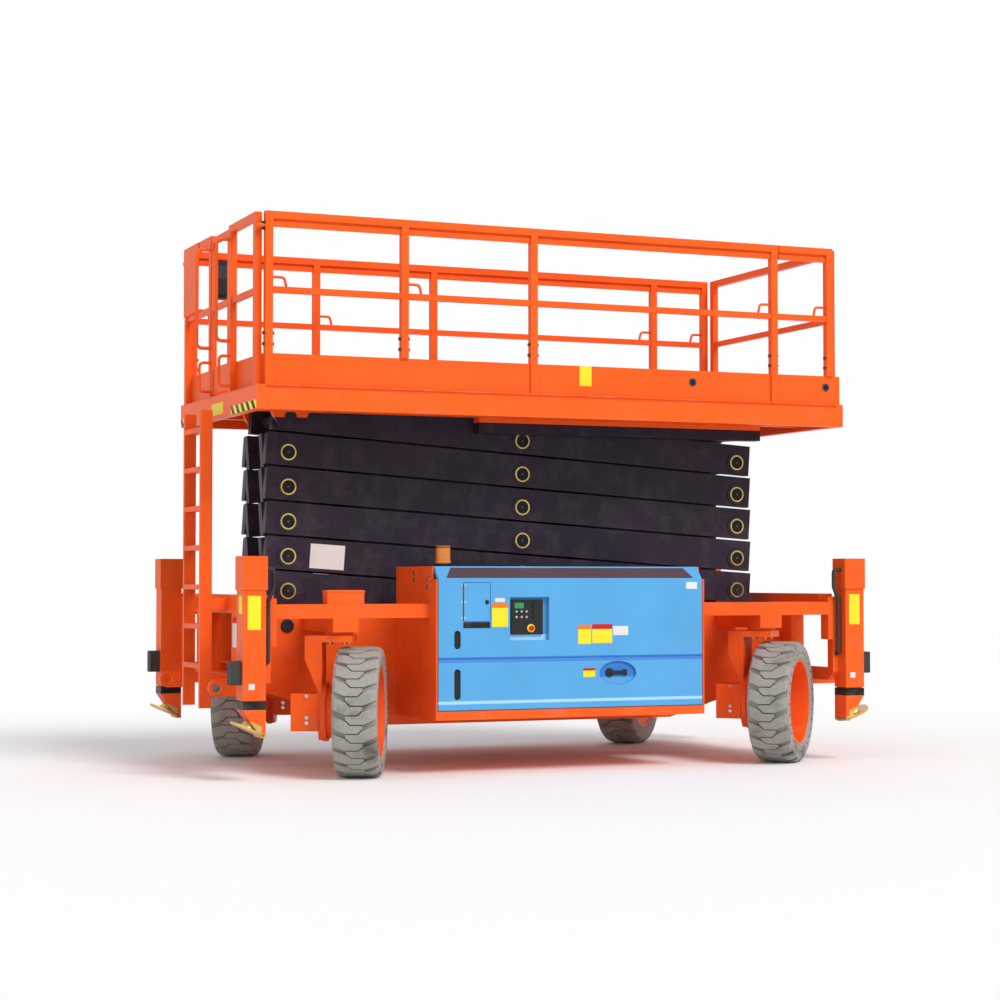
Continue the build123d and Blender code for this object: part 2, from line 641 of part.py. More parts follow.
def end_webs():
    """Upright webs between the front beam and sill, corner gussets and tie-down eyes."""
    web = box(BEAM_END_X, END_BEAM_X, END_WEB_IN, END_WEB_OUT, END_SILL_HIGH, END_BEAM_LOW)
    gusset = prism_x([(RAIL_IN, END_SILL_LOW), (RAIL_OUT, END_SILL_LOW + 60), (RAIL_OUT, END_BEAM_HIGH - 20),
                      (RAIL_IN, END_BEAM_HIGH - 20)], BEAM_END_X + PLATE, END_BEAM_X)
    pieces = [web, gusset - wheel_room(), tie_lug(LUG_Y)]
    return [half for piece in pieces for half in both_sides(piece)]


def axle_frame():
    """Front cross beam that carries both kingpins, with the outer rails over the wheels."""
    cross = box(KINGPIN_X - AXLE_BEAM_HALF, KINGPIN_X + AXLE_BEAM_HALF, BEAM_OUT, RAIL_OUT, AXLE_BEAM_LOW, RAIL_LOW)
    rail = box(BULKHEAD_X + BULKHEAD, BEAM_END_X + PLATE, RAIL_IN, RAIL_OUT, RAIL_LOW, RAIL_HIGH)
    inner = box(KINGPIN_X - AXLE_BEAM_HALF, KINGPIN_X + AXLE_BEAM_HALF, BEAM_OUT, RAIL_IN, RAIL_LOW, BEAM_TOP)
    boss = rod_z(KINGPIN_X, KINGPIN_Y, KINGPIN_BOSS_R, AXLE_BEAM_LOW - KINGPIN_BOSS_DROP, AXLE_BEAM_LOW)
    side = fuse([cross, rail, inner, boss])
    side -= rod_z(KINGPIN_X, KINGPIN_Y, KINGPIN_R + PIN_CLEARANCE, 0, RAIL_LOW - 20)
    return both_sides(side)


def stabilizer_sleeve():
    """Front far sleeve: square tube with a cap, open below."""
    half = SLEEVE_SIDE / 2
    bore = half - SLEEVE_WALL
    x, y = SLEEVE_X, SLEEVE_Y
    tube = box(x - half, x + half, y - half, y + half, SLEEVE_LOW, SLEEVE_HIGH)
    cap = CAP_SIDE / 2
    tube = fuse([tube, box(x - cap, x + cap, y - cap, y + cap, SLEEVE_HIGH, CAP_HIGH)])
    return tube - box(x - bore, x + bore, y - bore, y + bore, SLEEVE_LOW - 1, CAP_HIGH - CAP_WALL)


def leg():
    """Front far stabilizer leg: sliding tube, collar, wedge tip and tilted foot."""
    x, y = SLEEVE_X, SLEEVE_Y
    half = LEG_SIDE / 2
    collar = SLEEVE_SIDE / 2
    tip = prism_y([(x - collar, COLLAR_LOW), (x - collar, TIP_LOW), (x - collar + 30, TIP_LOW), (x + collar, COLLAR_LOW)],
                  y - collar, y + collar)
    tilt = Pos(x + FOOT_OUT, y, FOOT_Z) * Rot(0, -FOOT_TILT, 0)
    foot = tilt * Cylinder(FOOT_R, FOOT_THICK)
    hub = tilt * Pos(0, 0, 22) * Cone(FOOT_R * 0.5, FOOT_R * 0.35, 40)
    return fuse([
        box(x - half, x + half, y - half, y + half, COLLAR_HIGH, LEG_TOP),
        box(x - collar, x + collar, y - collar, y + collar, COLLAR_LOW, COLLAR_HIGH), tip, foot, hub,
    ])


def bumper():
    """Front far rubber buffer on the sleeve's end face."""
    half = BUMPER_WIDTH / 2
    block = box(SLEEVE_OUT_X, SLEEVE_OUT_X + BUMPER_DEPTH, SLEEVE_Y - half, SLEEVE_Y + half, BUMPER_LOW, BUMPER_HIGH)
    return fillet(block.edges().filter_by(Axis.X), 12)


def ladder_stringers():
    """Two uprights of the access ladder with the brackets that carry them."""
    x0, x1 = LADDER_X
    upright = box(x0, x1, LADDER_HALF, LADDER_HALF + STRINGER, LADDER_LOW, LADDER_HIGH)
    high = box(x1, -END_BEAM_X, LADDER_HALF, LADDER_HALF + STRINGER, END_BEAM_LOW + 20, END_BEAM_HIGH - 20)
    low = box(x1, -END_BEAM_X, LADDER_HALF, LADDER_HALF + STRINGER, END_SILL_LOW + 10, END_SILL_HIGH - 10)
    return both_sides(fuse([upright, high, low]))


def ladder_rungs():
    """Rungs between the uprights, each a folded tread with its rear skirt."""
    x0, x1 = LADDER_X
    rungs = []
    for i in range(RUNGS):
        z = RUNG_FIRST + i * RUNG_PITCH
        rungs.append(box(x0, x1, -LADDER_HALF, LADDER_HALF, z - RUNG_HEIGHT / 2, z + RUNG_HEIGHT / 2))
    return rungs


def side_tray():
    """Far tray that carries the power unit: floor, two bulkheads and the hinge strip."""
    return fuse([
        box(-BULKHEAD_X - BULKHEAD, BULKHEAD_X + BULKHEAD, BEAM_OUT, HOOD_FACE, TRAY_LOW, TRAY_HIGH),
        *ends(box(BULKHEAD_X, BULKHEAD_X + BULKHEAD, BEAM_OUT, HOOD_FACE, TRAY_HIGH, HOOD_EDGE_Z)),
        *ends(box(BULKHEAD_X, BULKHEAD_X + BULKHEAD, BEAM_OUT, HOOD_SHOULDER, HOOD_EDGE_Z, HOOD_TOP)),
        box(-BULKHEAD_X, BULKHEAD_X, HINGE_IN, HINGE_OUT, HOOD_TOP - HOOD_WALL, HOOD_TOP),
    ])


def power_blocks():
    """Engine on the far tray, fuel and oil tanks on the near tray."""
    engine = box(-760, 420, 520, 1000, TRAY_HIGH, 1180)
    pump = box(480, 820, 560, 960, TRAY_HIGH, 900)
    fuel = box(-860, -180, -1060, -520, TRAY_HIGH, 1120)
    oil = box(60, 800, -1060, -520, TRAY_HIGH, 1080)
    return [fillet(block.edges(), 25) if block is not engine else block for block in (engine, pump, fuel, oil)]


def beacon():
    """Flashing lamp on its base, on the near hinge strip."""
    x, y, z = BEACON_X, -(HINGE_IN + 55), HOOD_TOP
    return fuse([rod_z(x, y, 46, z, z + 24), rod_z(x, y, 54, z + 24, z + 40), rod_z(x, y, 50, z + 40, BEACON_TOP)])


def hood_shell():
    """Far hood: face, chamfer and top in one folded wall with a crease along the face."""
    wall = HOOD_WALL
    back = HINGE_OUT + PIN_CLEARANCE
    outline = [
        (HOOD_FACE, HOOD_LOW), (HOOD_FACE, HOOD_EDGE_Z), (HOOD_SHOULDER, HOOD_TOP), (back, HOOD_TOP),
        (back, HOOD_TOP - wall), (HOOD_SHOULDER - wall / 2, HOOD_TOP - wall), (HOOD_FACE - wall, HOOD_EDGE_Z - wall / 2),
        (HOOD_FACE - wall, HOOD_LOW),
    ]
    shell = prism_x(outline, -HOOD_HALF, HOOD_HALF)
    crease = prism_x([(HOOD_FACE, CREASE_Z - CREASE), (HOOD_FACE - CREASE / 2, CREASE_Z), (HOOD_FACE, CREASE_Z + CREASE)],
                     -HOOD_HALF, HOOD_HALF)
    return shell - crease


def upright_slot(x, low, high):
    """Round-ended slot cut through the face of the near hood."""
    r = SLOT_WIDTH / 2
    return fuse([
        box(x - r, x + r, -HOOD_FACE - 1, HOOD_WALL - HOOD_FACE + 1, low + r, high - r),
        rod_y(x, low + r, r, -HOOD_FACE - 1, HOOD_WALL - HOOD_FACE + 1),
        rod_y(x, high - r, r, -HOOD_FACE - 1, HOOD_WALL - HOOD_FACE + 1),
    ])


def near_hood():
    """Near hood with the control recess, fuel door seat, handle recess and sight slots."""
    face = -HOOD_FACE
    rim = 16.0
    hood = mirrored(hood_shell())
    hood += box(PANEL_X[0] - rim, PANEL_X[1] + rim, face, face + PANEL_DEPTH + rim, PANEL_Z[0] - rim, PANEL_Z[1] + rim)
    hood -= box(*PANEL_X, face - 1, face + PANEL_DEPTH, *PANEL_Z)
    hood -= box(*FUEL_DOOR_X, face - 1, face + FUEL_DOOR_THICK + PIN_CLEARANCE, *FUEL_DOOR_Z)
    hood -= box(FUEL_DOOR_X[0] + rim, FUEL_DOOR_X[1] - rim, face - 1, face + HOOD_WALL + 1,
                FUEL_DOOR_Z[0] + rim, FUEL_DOOR_Z[1] - rim - HOOD_WALL)
    length, height = HANDLE_SIZE
    oval = Ellipse(length / 2, height / 2)
    recess = extrude(Plane.XZ.offset(HOOD_FACE) * Pos(*HANDLE_SPOT) * oval, amount=-HANDLE_DEPTH)
    hood -= recess
    for low, high in SLOT_SPANS:
        hood -= upright_slot(SLOT_X, low, high)
    return hood


def far_hood():
    """Far hood with cooling louvres over the engine."""
    hood = hood_shell()
    for i in range(LOUVRES):
        z = LOUVRE_LOW + i * LOUVRE_PITCH
        hood -= box(*LOUVRE_X, HOOD_FACE - HOOD_WALL - 1, HOOD_FACE + 1, z, z + LOUVRE_PITCH * 0.4)
    return hood


def fuel_door():
    """Flat door of the fuel filler."""
    return box(FUEL_DOOR_X[0] + DOOR_PLAY, FUEL_DOOR_X[1] - DOOR_PLAY, -HOOD_FACE, FUEL_DOOR_THICK - HOOD_FACE,
               FUEL_DOOR_Z[0] + DOOR_PLAY, FUEL_DOOR_Z[1] - DOOR_PLAY)


def control_panel():
    """Ground control panel in its recess."""
    back = PANEL_DEPTH - HOOD_FACE
    return box(PANEL_X[0] + PANEL_INSET, PANEL_X[1] - 2 * PANEL_INSET, back - PANEL_INSET, back,
               PANEL_Z[0] + 2 * PANEL_INSET, PANEL_Z[1] - PANEL_INSET)


def hoses():
    """Stabilizer hoses from each sleeve cap down beside the sleeve and into the gusset."""
    cap = SLEEVE_X - CAP_SIDE / 2
    x = SLEEVE_X - SLEEVE_SIDE / 2 - 2 * HOSE_R
    y = RAIL_OUT + 2 * HOSE_R
    out = cap - 4 * HOSE_R
    top = CAP_HIGH - 80
    low = HOSE_LOW
    bend = 1.6 * HOSE_R
    route = [(cap, y, top), (out, y, top), (out, y, top - 120), (x, y, RAIL_HIGH + 20), (x, y, low), (x, RAIL_OUT, low)]
    tube = sweep(Plane(origin=route[0], z_dir=(-1, 0, 0)) * Circle(HOSE_R), path=FilletPolyline(*route, radius=bend))
    return [piece for side in both_sides(tube) for piece in ends(side)]


def wheel_place(corner):
    """Place of a wheel set drawn at the far side with its kingpin on the Z axis."""
    end, side = corner.split("_")
    x = KINGPIN_X if end == "front" else -KINGPIN_X
    steer = FRONT_STEER if end == "front" else REAR_STEER
    if side == "left":
        return Pos(x, KINGPIN_Y, 0) * Rot(0, 0, steer)
    return Pos(x, -KINGPIN_Y, 0) * Rot(0, 0, steer + 180)


def turned(points):
    """Ring about the axle, which lies on the Y axis, from an outline of places along it and radii."""
    return revolve(Plane.YZ * face_of(points), Axis.Y)


def knuckle():
    """Kingpin, top plate, drop plates, drive motor and hub drum."""
    low = KNUCKLE_TOP - KNUCKLE_PLATE
    inner = WHEEL_OFFSET - TYRE_WIDTH / 2
    back = inner - 92
    drum_end = inner + RIM_SIDE + 6 - PIN_CLEARANCE
    plate = [(-120, low), (-120, 560), (-105, 300), (-60, 240), (60, 240), (105, 300), (120, 560), (120, low)]
    drop = prism_y(plate, back - 25, back)
    rib = prism_x([(back - 25, low), (back - 110, low), (back - 110, 760), (back - 25, 560)], 95, 118)
    pieces = [
        rod_z(0, 0, KINGPIN_R, low, RAIL_LOW - 30), box(-120, 120, back - 110, 100, low, KNUCKLE_TOP), drop,
        rib, mirror(rib, about=Plane.YZ), box(-115, 115, back - 200, back - 25, 300, 540),
        rod_y(0, TYRE_R, HUB_R, back, back + 30), rod_y(0, TYRE_R, HUB_R - 20, back, drum_end),
    ]
    return fuse(pieces)


def rim():
    """Deeply dished wheel: barrel, inner disc and centre cap."""
    a = WHEEL_OFFSET - TYRE_WIDTH / 2 + RIM_SIDE
    b = WHEEL_OFFSET + TYRE_WIDTH / 2 - RIM_SIDE
    r = RIM_R - RIM_WALL
    return Pos(0, 0, TYRE_R) * turned([
        (a, RIM_R), (b, RIM_R), (b, r + 4), (b - 30, r), (a + 70, r - 6), (a + 26, r - 34), (a + 26, 95),
        (a + 60, 80), (a + 60, 0), (a + 6, 0), (a + 6, r), (a, r),
    ])


def groove_plan():
    """Outline of one tread groove from the outer shoulder: a wide slanting mouth that ends in a narrow sipe."""
    edge = TYRE_WIDTH / 2 + 5
    mouth = edge - GROOVE_REACH
    half = SIPE_WIDTH / 2
    flat = mouth - SIPE_FLAT
    tip = flat - SIPE_RISE
    return [
        (-GROOVE_SWEEP - half, edge), (-half, mouth), (-half, flat), (-half - SIPE_RISE, tip), (half - SIPE_RISE, tip - half),
        (half, flat - half), (half, mouth - half), (GROOVE_WIDTH - half, mouth - half), (GROOVE_WIDTH - half - GROOVE_SWEEP, edge),
    ]


def tyre():
    """Solid tyre whose staggered grooves run in from both shoulders and meet as sipes in the middle."""
    a = -TYRE_WIDTH / 2
    b = TYRE_WIDTH / 2
    seat = RIM_R + PIN_CLEARANCE
    ring = turned([
        (a + 14, seat), (b - 14, seat), (b - 4, seat + 16), (b, 350), (b - 3, 398), (b - 20, 414), (b - 60, TYRE_R),
        (a + 60, TYRE_R), (a + 20, 414), (a + 3, 398), (a, 350), (a + 4, seat + 16),
    ])
    outer = prism_z(groove_plan(), GROOVE_BOTTOM_R, TYRE_R + 5)
    inner = mirrored(outer)
    grooves = []
    for i in range(LUG_COUNT):
        grooves.append(Rot(0, i * 360 / LUG_COUNT, 0) * outer)
        grooves.append(Rot(0, (i + 0.5) * 360 / LUG_COUNT, 0) * inner)
    return Pos(0, WHEEL_OFFSET, TYRE_R) * (ring - grooves)


def main():
    """Build every piece and write it."""
    os.makedirs("parts", exist_ok=True)
    for level in range(1, LEVELS + 1):
        save(f"inner_arms_{level}", [inner_arms(level)])
        save(f"outer_arms_{level}", [outer_arms(level)])
    for name, level in zip(("lower", "upper"), CYLINDER_LEVELS):
        save(f"{name}_cylinder_barrel", [barrel(level)])
        save(f"{name}_cylinder_rod", [rod(level)])
    save("deck_frame", [deck_frame()])
    save("deck_floor", [deck_floor()])
    save("toe_boards", toe_boards())
    save("rail_posts", rail_posts())
    save("guard_rails", guard_rails())
    save("grab_hoops", grab_hoops())
    save("gate", [gate()])
    save("end_panel", [end_panel()])
    save("control_box", [control_box()])
    save("chassis_beams", [chassis_beams()])
    save("end_frames", [piece for bar in end_frame() for piece in ends(bar)])
    save("end_webs", [piece for web in end_webs() for piece in ends(web)])
    save("axle_frames", [piece for side in axle_frame() for piece in ends(side)])
    save("stabilizer_sleeves", [piece for side in both_sides(stabilizer_sleeve()) for piece in ends(side)])
    save("bumpers", [piece for side in both_sides(bumper()) for piece in ends(side)])
    save("hoses", hoses())
    save("ladder_stringers", ladder_stringers())
    save("ladder_rungs", ladder_rungs())
    save("side_trays", both_sides(side_tray()))
    save("power_blocks", power_blocks())
    save("beacon", [beacon()])
    save("near_hood", [near_hood()])
    save("far_hood", [far_hood()])
    save("fuel_door", [fuel_door()])
    save("control_panel", [control_panel()])
    tread = tyre()
    for corner in ("front_left", "front_right", "rear_left", "rear_right"):
        save(f"{corner}_knuckle", [wheel_place(corner) * knuckle()])
        save(f"{corner}_rim", [wheel_place(corner) * rim()])
        save(f"{corner}_tyre", [wheel_place(corner) * tread])
    front_left = leg()
    rear_left = mirror(front_left, about=Plane.YZ)
    save("front_left_leg", [front_left])
    save("front_right_leg", [mirrored(front_left)])
    save("rear_left_leg", [rear_left])
    save("rear_right_leg", [mirrored(rear_left)])


if __name__ == "__main__":
    main()
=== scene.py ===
"""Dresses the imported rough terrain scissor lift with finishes, small fittings and a photo stage."""
import math

import bmesh
import bpy
from bpy.props import FloatProperty, FloatVectorProperty, IntProperty, PointerProperty
from mathutils import Matrix, Vector


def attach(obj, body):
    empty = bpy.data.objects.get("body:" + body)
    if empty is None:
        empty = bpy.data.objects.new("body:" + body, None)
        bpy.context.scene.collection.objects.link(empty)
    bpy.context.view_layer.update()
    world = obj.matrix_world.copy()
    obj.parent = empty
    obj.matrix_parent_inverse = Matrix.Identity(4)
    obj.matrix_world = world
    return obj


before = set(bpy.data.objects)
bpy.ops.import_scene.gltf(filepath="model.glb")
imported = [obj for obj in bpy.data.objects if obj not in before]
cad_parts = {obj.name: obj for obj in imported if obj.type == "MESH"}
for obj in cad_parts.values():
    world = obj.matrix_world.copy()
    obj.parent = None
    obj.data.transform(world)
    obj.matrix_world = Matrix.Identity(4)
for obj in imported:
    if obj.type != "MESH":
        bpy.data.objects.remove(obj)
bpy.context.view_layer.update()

bl_info = {
    "name": "Scissor Lift Dressing",
    "version": (1, 0, 0),
    "blender": (4, 5, 0),
    "location": "View3D > Sidebar > Scissor Lift",
    "description": "Finishes and fittings for a rough terrain scissor lift",
    "category": "Object",
}

# Places on the machine, in metres and degrees

CORNERS = ("front_left", "front_right", "rear_left", "rear_right")
UP = Vector((0, 0, 1))

# Scissor arms
ARM_LEVELS = range(1, 7)
PIN_X = 1.713
BASE_PIN_Z = 0.963
LEVEL_PITCH = 0.233
ARM_FACE = 0.291
ARM_PLATE_X, ARM_PLATE_Z = -1.435, 1.425
ARM_PLATE_FACES = (-0.2858, -0.2850)
ARM_PLATE_HALF, ARM_PLATE_RISE = 0.122, 0.083

# Near hood, with patches as left, right, low and high
HOOD_FACE = -1.150
CHAMFER_LOW = Vector((0, -1.150, 1.274))
CHAMFER_HIGH = Vector((0, -1.075, 1.359))
# Heights of the painted shade in the crease and the painted highlight along the bottom fold
CREASE_SHADE_Z = (0.733, 0.767)
FOLD_HIGHLIGHT_Z = (0.462, 0.482)
# Patches of painted highlight on the recess sill and painted shade on its side
RECESS_SILL_HIGHLIGHT = (-0.470, -0.180, 0.870, 0.911)
RECESS_SIDE_SHADE = (-0.470, -0.441, 0.911, 1.160)
# Oval bowl of the handle recess, with painted shade in its upper part
BOWL_X, BOWL_Z, BOWL_HALF_X, BOWL_HALF_Z = 0.325, 0.647, 0.136, 0.081
DOOR_AXIS_X = -0.789
DOOR = (-0.790, -0.600, 1.000, 1.252)
SLOTS_X = (-0.850, -0.810)
SLOTS_Z = ((0.825, 0.935), (0.495, 0.685))
PANEL_LEFT, PANEL_LOW, PANEL_FACE = -0.441, 0.910, HOOD_FACE + 0.022

# Stabilizers
SLEEVE_X, SLEEVE_Y, SLEEVE_HALF = 2.1885, 1.0555, 0.0745
FOOT_TILT, FOOT_X, FOOT_Z, FOOT_SKIN = 24.0, 2.2085, 0.331, 0.012
HUB_RISE, HUB_HALF = 0.040, 0.068
COLLAR_Z = (0.457, 0.509)

# Wheels, with distances out from the kingpin along the axle
WHEEL_X, WHEEL_Y, WHEEL_Z = 1.56, 0.91, 0.42
STEER = {"front": 46.0, "rear": 65.0}
RIM_BOLT_OUT, RIM_BOLT_CIRCLE = 0.039, 0.150
POCKET_OUT, POCKET_CIRCLE = 0.2845, 0.345
DRIVE_BOX_OUT, DRIVE_BOX_HALF = -0.194, 0.115
DRIVE_BOLTS_Z = (0.354, 0.388, 0.525)
KINGPIN_Z, KINGPIN_DROP, KINGPIN_CIRCLE = 0.885, 0.022, 0.07
KINGPIN_TURNS = (0.6, 2.2, 3.7, 5.3)

# Platform
TOE_FACE = 0.945
TOE_HOLES_X, TOE_HOLES_Z = (1.005, 2.075), 2.640
DECK_END_X = -2.132
# Below this height the deck frame gets painted shade in the arm navy
DECK_SHADE_BELOW = 2.3595
RAIL_Y, MIDDLE_RAIL_Z, CORNER_LINK_Z = 0.937, 3.150, 3.540
RAIL_POSTS = (-2.051, -1.125, -0.200, 1.652, 2.102)
POST_PINS_Z = (2.780, 2.850)
LOOP_SPOTS = ((-2.051, 1), (-1.125, 1), (1.652, -1), (2.102, -1))

# Chassis
FRAME_WEB_X = -2.114
BULKHEAD_X = 0.984
BULKHEAD_BOLTS = ((-0.761, 1.316), (-0.761, 1.269), (-1.004, 1.276), (-1.004, 1.225))
BEACON_X, BEACON_Y, BEACON_LOW, BEACON_CAP = -0.747, -0.675, 1.359, 1.486

# Looks
NEAR_BLACK = (0.012, 0.012, 0.013)
STRIPE_PITCH = 0.085
PLATE_SKIN = 0.0014
SHARP_ANGLE = math.radians(35)
PHOTO_LENS = 77.54
PHOTO_PLACE = (-6.007, -14.172, 1.280)
PHOTO_YAW, PHOTO_PITCH = math.radians(22.807), math.radians(2.084)


# Settings

class LiftColours(bpy.types.PropertyGroup):
    """Paint and material colours."""
    orange: FloatVectorProperty(name="Orange paint", description="Paint of the chassis and guard rails",
                                subtype="COLOR", default=(0.93, 0.118, 0.012), min=0, max=1)
    blue: FloatVectorProperty(name="Hood blue", description="Paint of the engine hoods",
                              subtype="COLOR", default=(0.10, 0.38, 0.72), min=0, max=1)
    navy: FloatVectorProperty(name="Arm navy", description="Dark paint of the scissor arms",
                              subtype="COLOR", default=(0.024, 0.017, 0.030), min=0, max=1)
    rubber: FloatVectorProperty(name="Tyre rubber", description="Tyre where it is clean",
                                subtype="COLOR", default=(0.045, 0.043, 0.041), min=0, max=1)
    dust: FloatVectorProperty(name="Dust", description="Dry dust on the tyres and low steel",
                              subtype="COLOR", default=(0.46, 0.44, 0.40), min=0, max=1)
    gold: FloatVectorProperty(name="Zinc gold", description="Passivated zinc of pin rings and feet",
                              subtype="COLOR", default=(0.62, 0.45, 0.16), min=0, max=1)
    label: FloatVectorProperty(name="Label yellow", description="Bare yellow plates",
                               subtype="COLOR", default=(0.94, 0.78, 0.03), min=0, max=1)


class LiftSizes(bpy.types.PropertyGroup):
    """Sizes of the fittings that this script adds."""
    ring_radius: FloatProperty(name="Pin ring radius", description="Outer radius of the ring on a pin end",
                               default=0.055, subtype="DISTANCE", unit="LENGTH")
    ring_bore: FloatProperty(name="Pin ring bore", description="Inner radius of the ring on a pin end",
                             default=0.045, subtype="DISTANCE", unit="LENGTH")
    bolt_radius: FloatProperty(name="Bolt radius", description="Half width of a hexagon bolt head",
                               default=0.016, subtype="DISTANCE", unit="LENGTH")
    wheel_bolts: IntProperty(name="Wheel bolts", description="Bolts on each wheel disc",
                             default=10, min=3, max=24)
    tyre_pockets: IntProperty(name="Tyre pockets", description="Small pockets in each outer sidewall",
                              default=30, min=0, max=60)
    edge_wear: FloatProperty(name="Edge wear", description="Share of worn paint along edges",
                             default=0.25, min=0, max=1)


# Shader groups

def new_group(name, inputs, outputs):
    """Empty shader group with number sockets."""
    tree = bpy.data.node_groups.new(name, "ShaderNodeTree")
    for label, default in inputs.items():
        sock = tree.interface.new_socket(label, in_out="INPUT", socket_type="NodeSocketFloat")
        sock.default_value = default
    for label in outputs:
        tree.interface.new_socket(label, in_out="OUTPUT", socket_type="NodeSocketFloat")
    return tree, tree.nodes.new("NodeGroupInput"), tree.nodes.new("NodeGroupOutput")


def node(tree, kind, links=(), **fields):
    """Adds a node, sets its fields and links its sockets."""
    made = tree.nodes.new(kind)
    for key, value in fields.items():
        setattr(made, key, value)
    for source, sink in links:
        tree.links.new(source, made.inputs[sink])
    return made


def put(made, **values):
    """Sets a node's inputs by name, with underscores for spaces."""
    for key, value in values.items():
        made.inputs[key.replace("_", " ")].default_value = value


def maths(tree, operation, a, b):
    """Maths node over two sockets or numbers. Sums and products are kept within 0 to 1."""
    made = tree.nodes.new("ShaderNodeMath")
    made.operation = operation
    made.use_clamp = operation in ("MULTIPLY", "ADD", "SUBTRACT")
    for i, value in enumerate((a, b)):
        if isinstance(value, (int, float)):
            made.inputs[i].default_value = value
        else:
            tree.links.new(value, made.inputs[i])
    return made.outputs[0]


def blend(tree, factor, a, b):
    """Colour mix by a factor socket."""
    made = tree.nodes.new("ShaderNodeMix")
    made.data_type = "RGBA"
    tree.links.new(factor, made.inputs[0])
    for index, value in ((6, a), (7, b)):
        if isinstance(value, (tuple, list)):
            made.inputs[index].default_value = (*value, 1.0)
        else:
            tree.links.new(value, made.inputs[index])
    return made.outputs[2]


def span(tree, value, low, high):
    """Value stretched from low..high to 0..1."""
    made = tree.nodes.new("ShaderNodeMapRange")
    made.interpolation_type = "SMOOTHSTEP"
    tree.links.new(value, made.inputs[0])
    made.inputs[1].default_value = low
    made.inputs[2].default_value = high
    return made.outputs[0]


def noise(tree, coords, scale, detail=3.0):
    """Noise over the given coordinates."""
    made = node(tree, "ShaderNodeTexNoise", [(coords, "Vector")])
    put(made, Scale=scale, Detail=detail)
    return made.outputs[0]


def object_coords(tree):
    """Object coordinates, on which all finishes lie."""
    return tree.nodes.new("ShaderNodeTexCoord").outputs["Object"]


def split(tree, vector):
    """The x, y and z sockets of a vector."""
    return node(tree, "ShaderNodeSeparateXYZ", [(vector, 0)]).outputs


def scaled(tree, value, factor, offset):
    """Value times a factor plus an offset."""
    return maths(tree, "ADD", maths(tree, "MULTIPLY", value, factor), offset)


def shaded(colour, factor):
    """Colour made darker or lighter by a factor."""
    return tuple(v * factor for v in colour)


def dust_group():
    """Mask of dry dust: more of it low down and on faces that look up, broken by noise."""
    tree, source, sink = new_group("LiftDust", {"Amount": 0.3, "Fade height": 1.0}, ["Mask"])
    coords = object_coords(tree)
    height = split(tree, coords)[2]
    low = maths(tree, "SUBTRACT", 1.0, maths(tree, "DIVIDE", height, source.outputs["Fade height"]))
    facing = split(tree, tree.nodes.new("ShaderNodeNewGeometry").outputs["Normal"])[2]
    up = span(tree, facing, 0.3, 1.0)
    speck = span(tree, noise(tree, coords, 9.0, 6.0), 0.42, 0.68)
    fine = span(tree, noise(tree, coords, 60.0, 2.0), 0.3, 0.8)
    body = maths(tree, "ADD", maths(tree, "MULTIPLY", low, 0.7), maths(tree, "MULTIPLY", up, 0.35))
    mask = maths(tree, "MULTIPLY", maths(tree, "MULTIPLY", body, speck), maths(tree, "ADD", fine, 0.4))
    tree.links.new(maths(tree, "MULTIPLY", mask, source.outputs["Amount"]), sink.inputs[0])
    return tree


def wear_group():
    """Mask of worn edges: where a rounded normal leaves the flat one, broken by noise."""
    tree, source, sink = new_group("LiftEdgeWear", {"Amount": 0.3}, ["Mask"])
    coords = object_coords(tree)
    bevel = node(tree, "ShaderNodeBevel", samples=4)
    put(bevel, Radius=0.006)
    flat = tree.nodes.new("ShaderNodeNewGeometry").outputs["Normal"]
    dot = node(tree, "ShaderNodeVectorMath", [(bevel.outputs[0], 0), (flat, 1)], operation="DOT_PRODUCT")
    edge = span(tree, maths(tree, "SUBTRACT", 1.0, dot.outputs["Value"]), 0.01, 0.2)
    speck = span(tree, noise(tree, coords, 26.0, 4.0), 0.52, 0.7)
    worn = maths(tree, "MULTIPLY", edge, speck)
    tree.links.new(maths(tree, "MULTIPLY", worn, source.outputs["Amount"]), sink.inputs[0])
    return tree


def peel_group():
    """Height of sprayed paint's fine orange peel and slight plate waviness, and a mask of shade clouds."""
    tree, source, sink = new_group("LiftPaintPeel", {"Fine": 160.0, "Broad": 2.5}, ["Height", "Cloud"])
    coords = object_coords(tree)
    fine = node(tree, "ShaderNodeTexNoise", [(coords, "Vector"), (source.outputs["Fine"], "Scale")])
    broad = node(tree, "ShaderNodeTexNoise", [(coords, "Vector"), (source.outputs["Broad"], "Scale")])
    height = maths(tree, "ADD", maths(tree, "MULTIPLY", fine.outputs[0], 0.3),
                   maths(tree, "MULTIPLY", broad.outputs[0], 0.7))
    tree.links.new(height, sink.inputs[0])
    tree.links.new(span(tree, broad.outputs[0], 0.25, 0.75), sink.inputs[1])
    return tree


def group_node(tree, group, **values):
    """Places a shader group with its own values."""
    made = node(tree, "ShaderNodeGroup", node_tree=group)
    put(made, **values)
    return made


# Finishes

